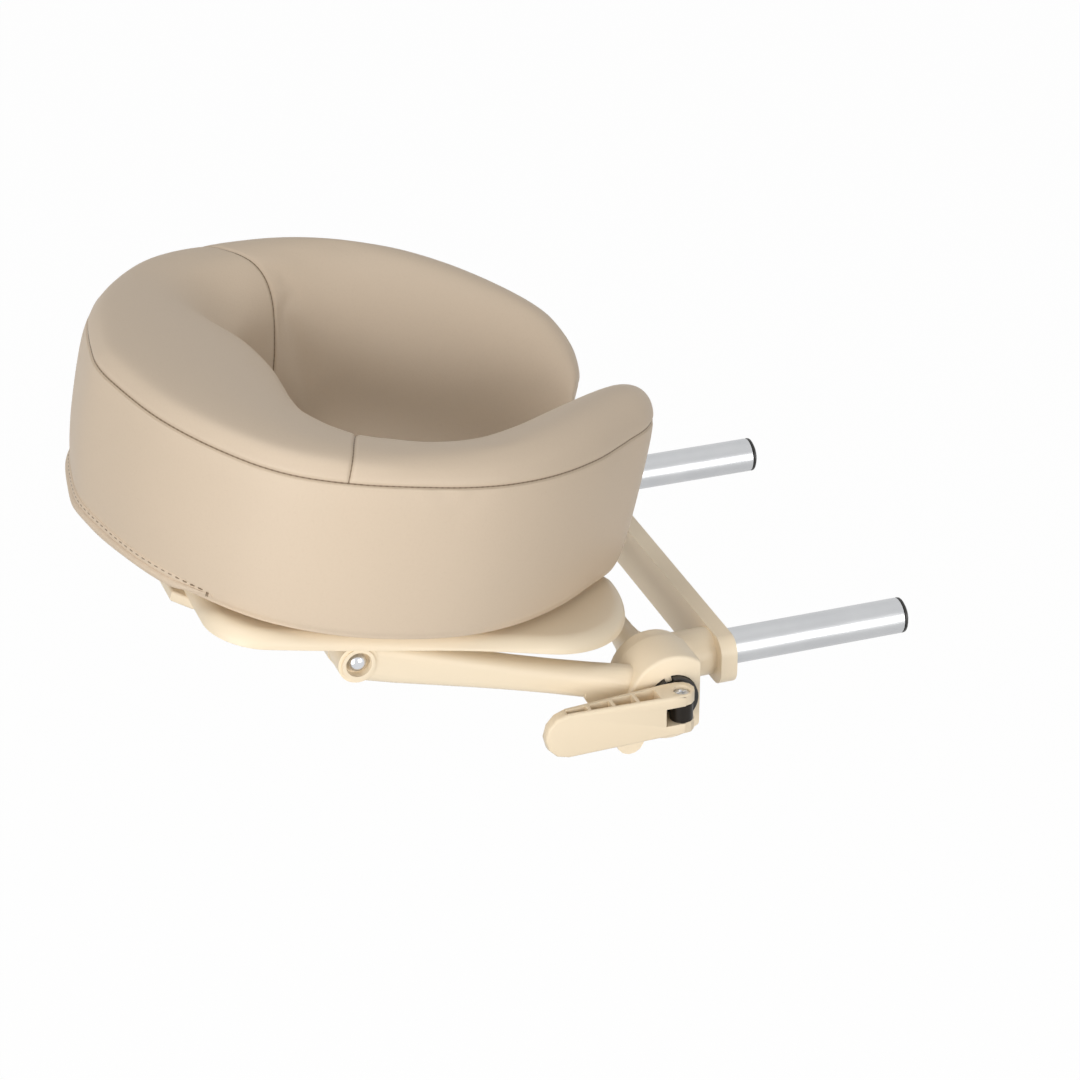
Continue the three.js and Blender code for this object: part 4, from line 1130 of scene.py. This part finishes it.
# Platform
@dataclass
class PlatformWing:
    """One tongue of the platform with its rolled rim, in millimetres."""

    far: bool = True
    deck_top: float = 16.8
    deck: float = 3.5
    rim: float = 8.2
    rim_wall: float = 2.6
    rim_gap: float = 0.3
    lip_chamfer: float = 0.35
    lip_rise: float = 0.4
    outer_edge: float = 141.025
    inner_edge: float = 58.0
    crown_end: float = 75.0
    back_end: float = 162.0
    straight_end: float = 98.0
    corner: float = 26.0
    small_corner: float = 10.0
    rim_rise: float = 1.7
    rise_place: float = 55.0
    rise_width: float = 48.0

    def outline(self, inset: float, steps: int = 18) -> Array:
        """The plan outline moved inwards: round corners and an elliptic back end."""
        corner, small = self.corner - inset, self.small_corner - inset
        inner, outer = self.inner_edge + inset, self.outer_edge - inset
        crown, back = -self.crown_end + inset, self.back_end - inset
        q = np.linspace(0, 1, steps)
        quarter = math.pi / 2

        def arc(cx: float, cy: float, rx: float, ry: float, start: float, more: int = 1) -> Array:
            """Quarter of an ellipse from a start angle, with more steps where it is long."""
            turn = start + quarter * np.linspace(0, 1, steps * more)
            return np.stack([cx + rx * np.cos(turn), cy + ry * np.sin(turn)], axis=1)

        def straight(start: float, end: float, y: float) -> Array:
            """Points between two places along X, without its ends."""
            return np.stack([start + (end - start) * q, np.full(steps, y)], axis=1)[1:-1]

        wide = outer - inner - small
        parts = [
            arc(back - small, inner + small, small, small, -quarter),
            arc(self.straight_end, inner + small, back - self.straight_end, wide, 0.0, 3),
            straight(self.straight_end, crown + corner, outer),
            arc(crown + corner, outer - corner, corner, corner, quarter),
            arc(crown + small, inner + small, small, small, 2 * quarter),
        ]
        parts.append(straight(parts[-1][-1][0], back - small, inner))
        return np.vstack(parts)

    def build(self, shop: Workshop) -> None:
        """Makes the wing: rings of the outline, each at its own inset and height.

        Outside, the inset falls and the depth grows as a quarter circle. Then come the lip, the
        inner wall, its own smaller quarter circle and the flat underside of the deck. The lower
        edge rises towards the middle of the wing by a bell along its length.
        """
        roll = self.rim - self.rim_gap
        a = np.linspace(0, math.pi / 2, 12)
        small, wall, chamfer = roll - self.rim_wall, self.rim_wall, self.lip_chamfer
        top, bottom = self.deck_top, self.deck_top - self.rim
        under = top - self.deck
        outside = [roll - roll * np.sin(a), top - roll + roll * np.cos(a)]
        inside = [wall + small * (1 - np.cos(a)), under - small + small * np.sin(a)]
        rise = self.lip_rise
        lip = [[0.0, chamfer, wall - chamfer, wall], bottom + np.array([rise, 0, 0, rise])]
        profile = np.hstack([outside, lip, inside]).T
        side = 1.0 if self.far else -1.0
        rings = []
        for inset, height in profile:
            plan = self.outline(float(inset))
            down = smoothstep((top - height) / self.rim, 0.45, 1.0)
            rise = self.rim_rise * down * bell(plan[:, 0], self.rise_place, self.rise_width)
            rings.append(np.column_stack([plan[:, 0], side * plan[:, 1], height + rise]))
        points = np.stack(rings)
        faces = tube_faces(*points.shape[:2])
        word = "far" if self.far else "near"
        mesh = to_mesh(f"wing_tray_{word}", carried(points, STANCE.platform()), faces)
        piece = shop.place(mesh, Body.PLATFORM, Slot.CREAM, CREAM_PLASTIC.make(), [f"wing_{word}"])
        smooth_by_angle(piece, 35)
        LOG.info("platform wing, %s: %d by %d points", word, *points.shape[:2])


@dataclass
class CamPin:
    """The lever's upright pin: a domed head with a cross recess over a shank, in millimetres."""

    height_at_seat: float = 7.8
    plane: float = 152.725
    radius: float = 4.25
    height: float = 1.9
    crown: float = 0.3
    edge: float = 0.5
    cross: float = 2.6
    cross_width: float = 1.1
    cross_depth: float = 1.0
    cross_slope: float = 0.3
    shank: float = 17.0
    shank_radius: float = 2.9

    def build(self, shop: Workshop) -> None:
        """Makes the pin, upright, with its head's seat at zero height.

        The top is a height over polar rings: the dome falls with the square of the radius, and
        the recess is the product of two eased bars crossed at right angles.
        """
        turn = np.linspace(0, TAU, 96, endpoint=False)
        share = np.concatenate([np.linspace(0.03, 0.9, 26), [0.95, 1.0]])[:, None]
        r = share * (self.radius - self.edge)
        x, y = r * np.cos(turn), r * np.sin(turn)
        half, slope = self.cross_width / 2, self.cross_slope
        bars = [
            (1 - smoothstep(np.abs(p), half, half + slope))
            * (1 - smoothstep(np.abs(q), self.cross - slope, self.cross + 0.2))
            for p, q in ((x, y), (y, x))
        ]
        top = self.height + self.crown * (1 - share**2) + 0 * x
        top = top - self.cross_depth * np.maximum(bars[0], bars[1])
        a = np.linspace(0, math.pi / 2, 6)[1:]
        reach = self.radius - self.edge * (1 - np.sin(a))
        reach = np.append(reach, (self.radius, self.shank_radius, self.shank_radius))[:, None]
        level = self.height - self.edge * (1 - np.cos(a))
        level = np.append(level, (0.0, 0.0, -self.shank))[:, None]
        side = [reach * np.cos(turn), reach * np.sin(turn), level + 0 * turn]
        points = np.concatenate([np.stack([x, y, top], axis=-1), np.stack(side, axis=-1)])
        stand = STANCE.base() @ Matrix.Translation((0, -self.plane * MM, self.height_at_seat * MM))
        mesh = to_mesh("cam_pin_turned", carried(points, stand), tube_faces(*points.shape[:2]))
        piece = shop.place(mesh, Body.CLAMP, Slot.ZINC, ZINC_STEEL.make(), ["cam_pin"])
        smooth_by_angle(piece, 45)
        LOG.info("turned cam pin")


# Carried-over solids
@dataclass(frozen=True)
class Refined:
    """A CAD solid whose copy is merged, smoothed and given soft edges.

    Edge is the rounding in millimetres, fold the angle in degrees past which an edge is rounded,
    and flatness the fold up to which lines inside a face are dissolved, with zero for none.
    """

    node: str
    slot: Slot
    edge: float
    fold: float = 38.0
    flatness: float = 0.4


def pair(word: str, slot: Slot, edge: float, fold: float = 38.0) -> list[Refined]:
    """The near and the far solid of a pair."""
    return [Refined(f"{word}_{side}", slot, edge, fold) for side in ("near", "far")]


@dataclass
class Hardware:
    """The rigid solids, refined where they show, in the order that they are made."""

    merge_distance: float = 1e-5
    solids: tuple[Refined, ...] = (
        Refined("base_yoke", Slot.CREAM, 0.8),
        *pair("arm", Slot.CREAM, 0.7),
        *pair("pivot_bracket", Slot.CREAM, 0.8),
        Refined("crown_bridge", Slot.CREAM, 0.4),
        Refined("cam_lever", Slot.LEVER, 0.5, flatness=0.0),
        Refined("cam_saddle", Slot.BLACK, 0.3),
        Refined("far_washer", Slot.BLACK, 0.3),
        *pair("post", Slot.ZINC, 0.4),
        *pair("post_cap", Slot.BLACK, 0.3),
        *pair("friction_disc", Slot.FIBRE, 0.2),
        Refined("clamp_rod", Slot.BLACK_STEEL, 0.25),
        Refined("clamp_nut", Slot.ZINC, 0.35),
        *pair("pivot_bolt", Slot.CHROME, 0.2, 50.0),
        *pair("pivot_nut", Slot.ZINC, 0.35),
        *pair("bridge_screw", Slot.ZINC, 0.2),
        *pair("hook_strip", Slot.PILE, 0.3),
        *pair("loop_strip", Slot.PILE, 0.3),
    )

    def body_of(self, node: str) -> Body:
        """The body that a CAD node rides on."""
        groups = frame["record"]["behaviour"]["bodies"]
        return next(Body(name) for name, nodes in groups.items() if node in nodes)

    def build(self, shop: Workshop) -> None:
        """Refines each solid: a merged copy with smooth curves and rounded folds."""
        for item in self.solids:
            mesh = frame["nodes"][item.node].data.copy()
            mesh.name = f"{item.node}_skin"
            merge(mesh, self.merge_distance, math.radians(item.flatness))
            finish = FINISH_OF_SLOT[item.slot].make()
            piece = shop.place(mesh, self.body_of(item.node), item.slot, finish, [item.node])
            smooth_by_angle(piece, item.fold)
            soften(piece, item.edge * MM, item.fold)
            LOG.info("refined %s", item.node)


# Stage, light and camera
@dataclass(frozen=True)
class Lamp:
    """A square area lamp: its place and size in metres and its power in watts."""

    name: str
    place: Triple
    size: float
    power: float


@dataclass
class Studio:
    """Pale floor, soft light and the camera, in metres."""

    floor_drop: float = 0.62
    floor_span: float = 12.0
    floor_colour: Triple = (166, 165, 163)
    floor_roughness: float = 0.9
    floor_glow: float = 1.06
    glow_share: float = 0.92
    ambient: float = 0.19
    lamps: tuple[Lamp, ...] = (
        Lamp("key", (-1.8, -1.55, 0.3), 1.7, 33.5),
        Lamp("upper", (-0.5, 0.0, 2.0), 1.3, 11.5),
        Lamp("right", (0.75, -2.05, 0.3), 1.2, 18.0),
    )
    lamp_aim: Triple = (-0.18, 0.0, 0.06)
    lamp_tone: Triple = (1.0, 0.985, 0.965)
    sensor: float = 36.0
    clip: Pair = (0.05, 50.0)
    camera_place: Triple = (-0.6165, -1.5163, 0.8798)
    camera_back: Triple = (-0.3020, -0.8303, 0.4684)
    camera_right: Triple = (0.9398, -0.3419, 0.0)
    lens: float = 113.30

    def stand(self, name: str, data: bpy.types.ID) -> Piece:
        """A new object of some data, linked to the scene."""
        item = bpy.data.objects.new(name, data)
        bpy.context.scene.collection.objects.link(item)
        return item

    def camera(self) -> None:
        """The camera at the solved place and turn."""
        data = bpy.data.cameras.new("view")
        data.lens, data.sensor_width = self.lens, self.sensor
        data.clip_start, data.clip_end = self.clip
        back = Vector(self.camera_back).normalized()
        right = Vector(self.camera_right)
        right = (right - back * right.dot(back)).normalized()
        turn = Matrix((right, back.cross(right), back)).transposed().to_4x4()
        item = self.stand("view", data)
        item.matrix_world = Matrix.Translation(self.camera_place) @ turn
        bpy.context.scene.camera = item

    def floor(self) -> None:
        """A wide pale floor that shows white and still takes the shadow."""
        span, low = self.floor_span, -self.floor_drop
        corners = [(-span, -span, low), (span, -span, low), (span, span, low), (-span, span, low)]
        mesh = bpy.data.meshes.new("floor")
        mesh.from_pydata(corners, [], [(0, 1, 2, 3)])
        self.stand("floor", mesh)
        material = bpy.data.materials.new("pale_floor")
        material.use_nodes = True
        board, nodes = NodeBoard(material.node_tree), material.node_tree.nodes
        shader = nodes["Principled BSDF"]
        board.feed(shader.inputs["Roughness"], self.floor_roughness)
        board.feed(shader.inputs["Base Color"], linear(self.floor_colour))
        glow = board.add("ShaderNodeEmission", {"Strength": self.floor_glow})
        share = board.math("MULTIPLY", self.seen(board), self.glow_share)
        mix = board.add("ShaderNodeMixShader", {0: share, 1: shader.outputs[0], 2: glow.outputs[0]})
        board.feed(nodes["Material Output"].inputs["Surface"], mix.outputs[0])
        mesh.materials.append(material)

    def seen(self, board: NodeBoard) -> Socket:
        """One for rays from the camera, from glossy surfaces and through clear ones."""
        path = board.add("ShaderNodeLightPath").outputs
        direct = board.math("MAXIMUM", path["Is Camera Ray"], path["Is Glossy Ray"])
        return board.math("MAXIMUM", direct, path["Is Transmission Ray"])

    def world(self) -> None:
        """White where it is seen, softer where it lights."""
        world = bpy.data.worlds.new("surround")
        world.use_nodes = True
        board = NodeBoard(world.node_tree)
        inputs = world.node_tree.nodes["Background"].inputs
        board.feed(inputs["Color"], (1, 1, 1, 1))
        board.feed(inputs["Strength"], board.spread(self.seen(board), self.ambient, 1.0))
        bpy.context.scene.world = world

    def light(self) -> None:
        """The area lamps, each turned to the same aim."""
        for lamp in self.lamps:
            data = bpy.data.lights.new(lamp.name, "AREA")
            data.shape, data.size, data.energy = "SQUARE", lamp.size, lamp.power
            data.color = self.lamp_tone
            item = self.stand(lamp.name, data)
            item.location = lamp.place
            item.rotation_mode = "QUATERNION"
            way = Vector(self.lamp_aim) - Vector(lamp.place)
            item.rotation_quaternion = way.to_track_quat("-Z", "Y")

    def build(self) -> None:
        """Sets the view, the stage and the lamps."""
        self.camera()
        self.floor()
        self.world()
        self.light()
        bpy.context.scene.view_settings.view_transform = "Standard"


def main() -> None:
    """Builds the cradle, the stage and the view."""
    shop = Workshop()
    Studio().build()
    cover = CushionCover()
    cover.build(shop)
    ClosingHem(cover).build(shop)
    for far in (False, True):
        PlatformWing(far=far).build(shop)
    Hardware().build(shop)
    CamPin().build(shop)
    LOG.info("%d pieces: %s", len(shop.made), ", ".join(shop.made))


if __name__ == "__main__":
    main()
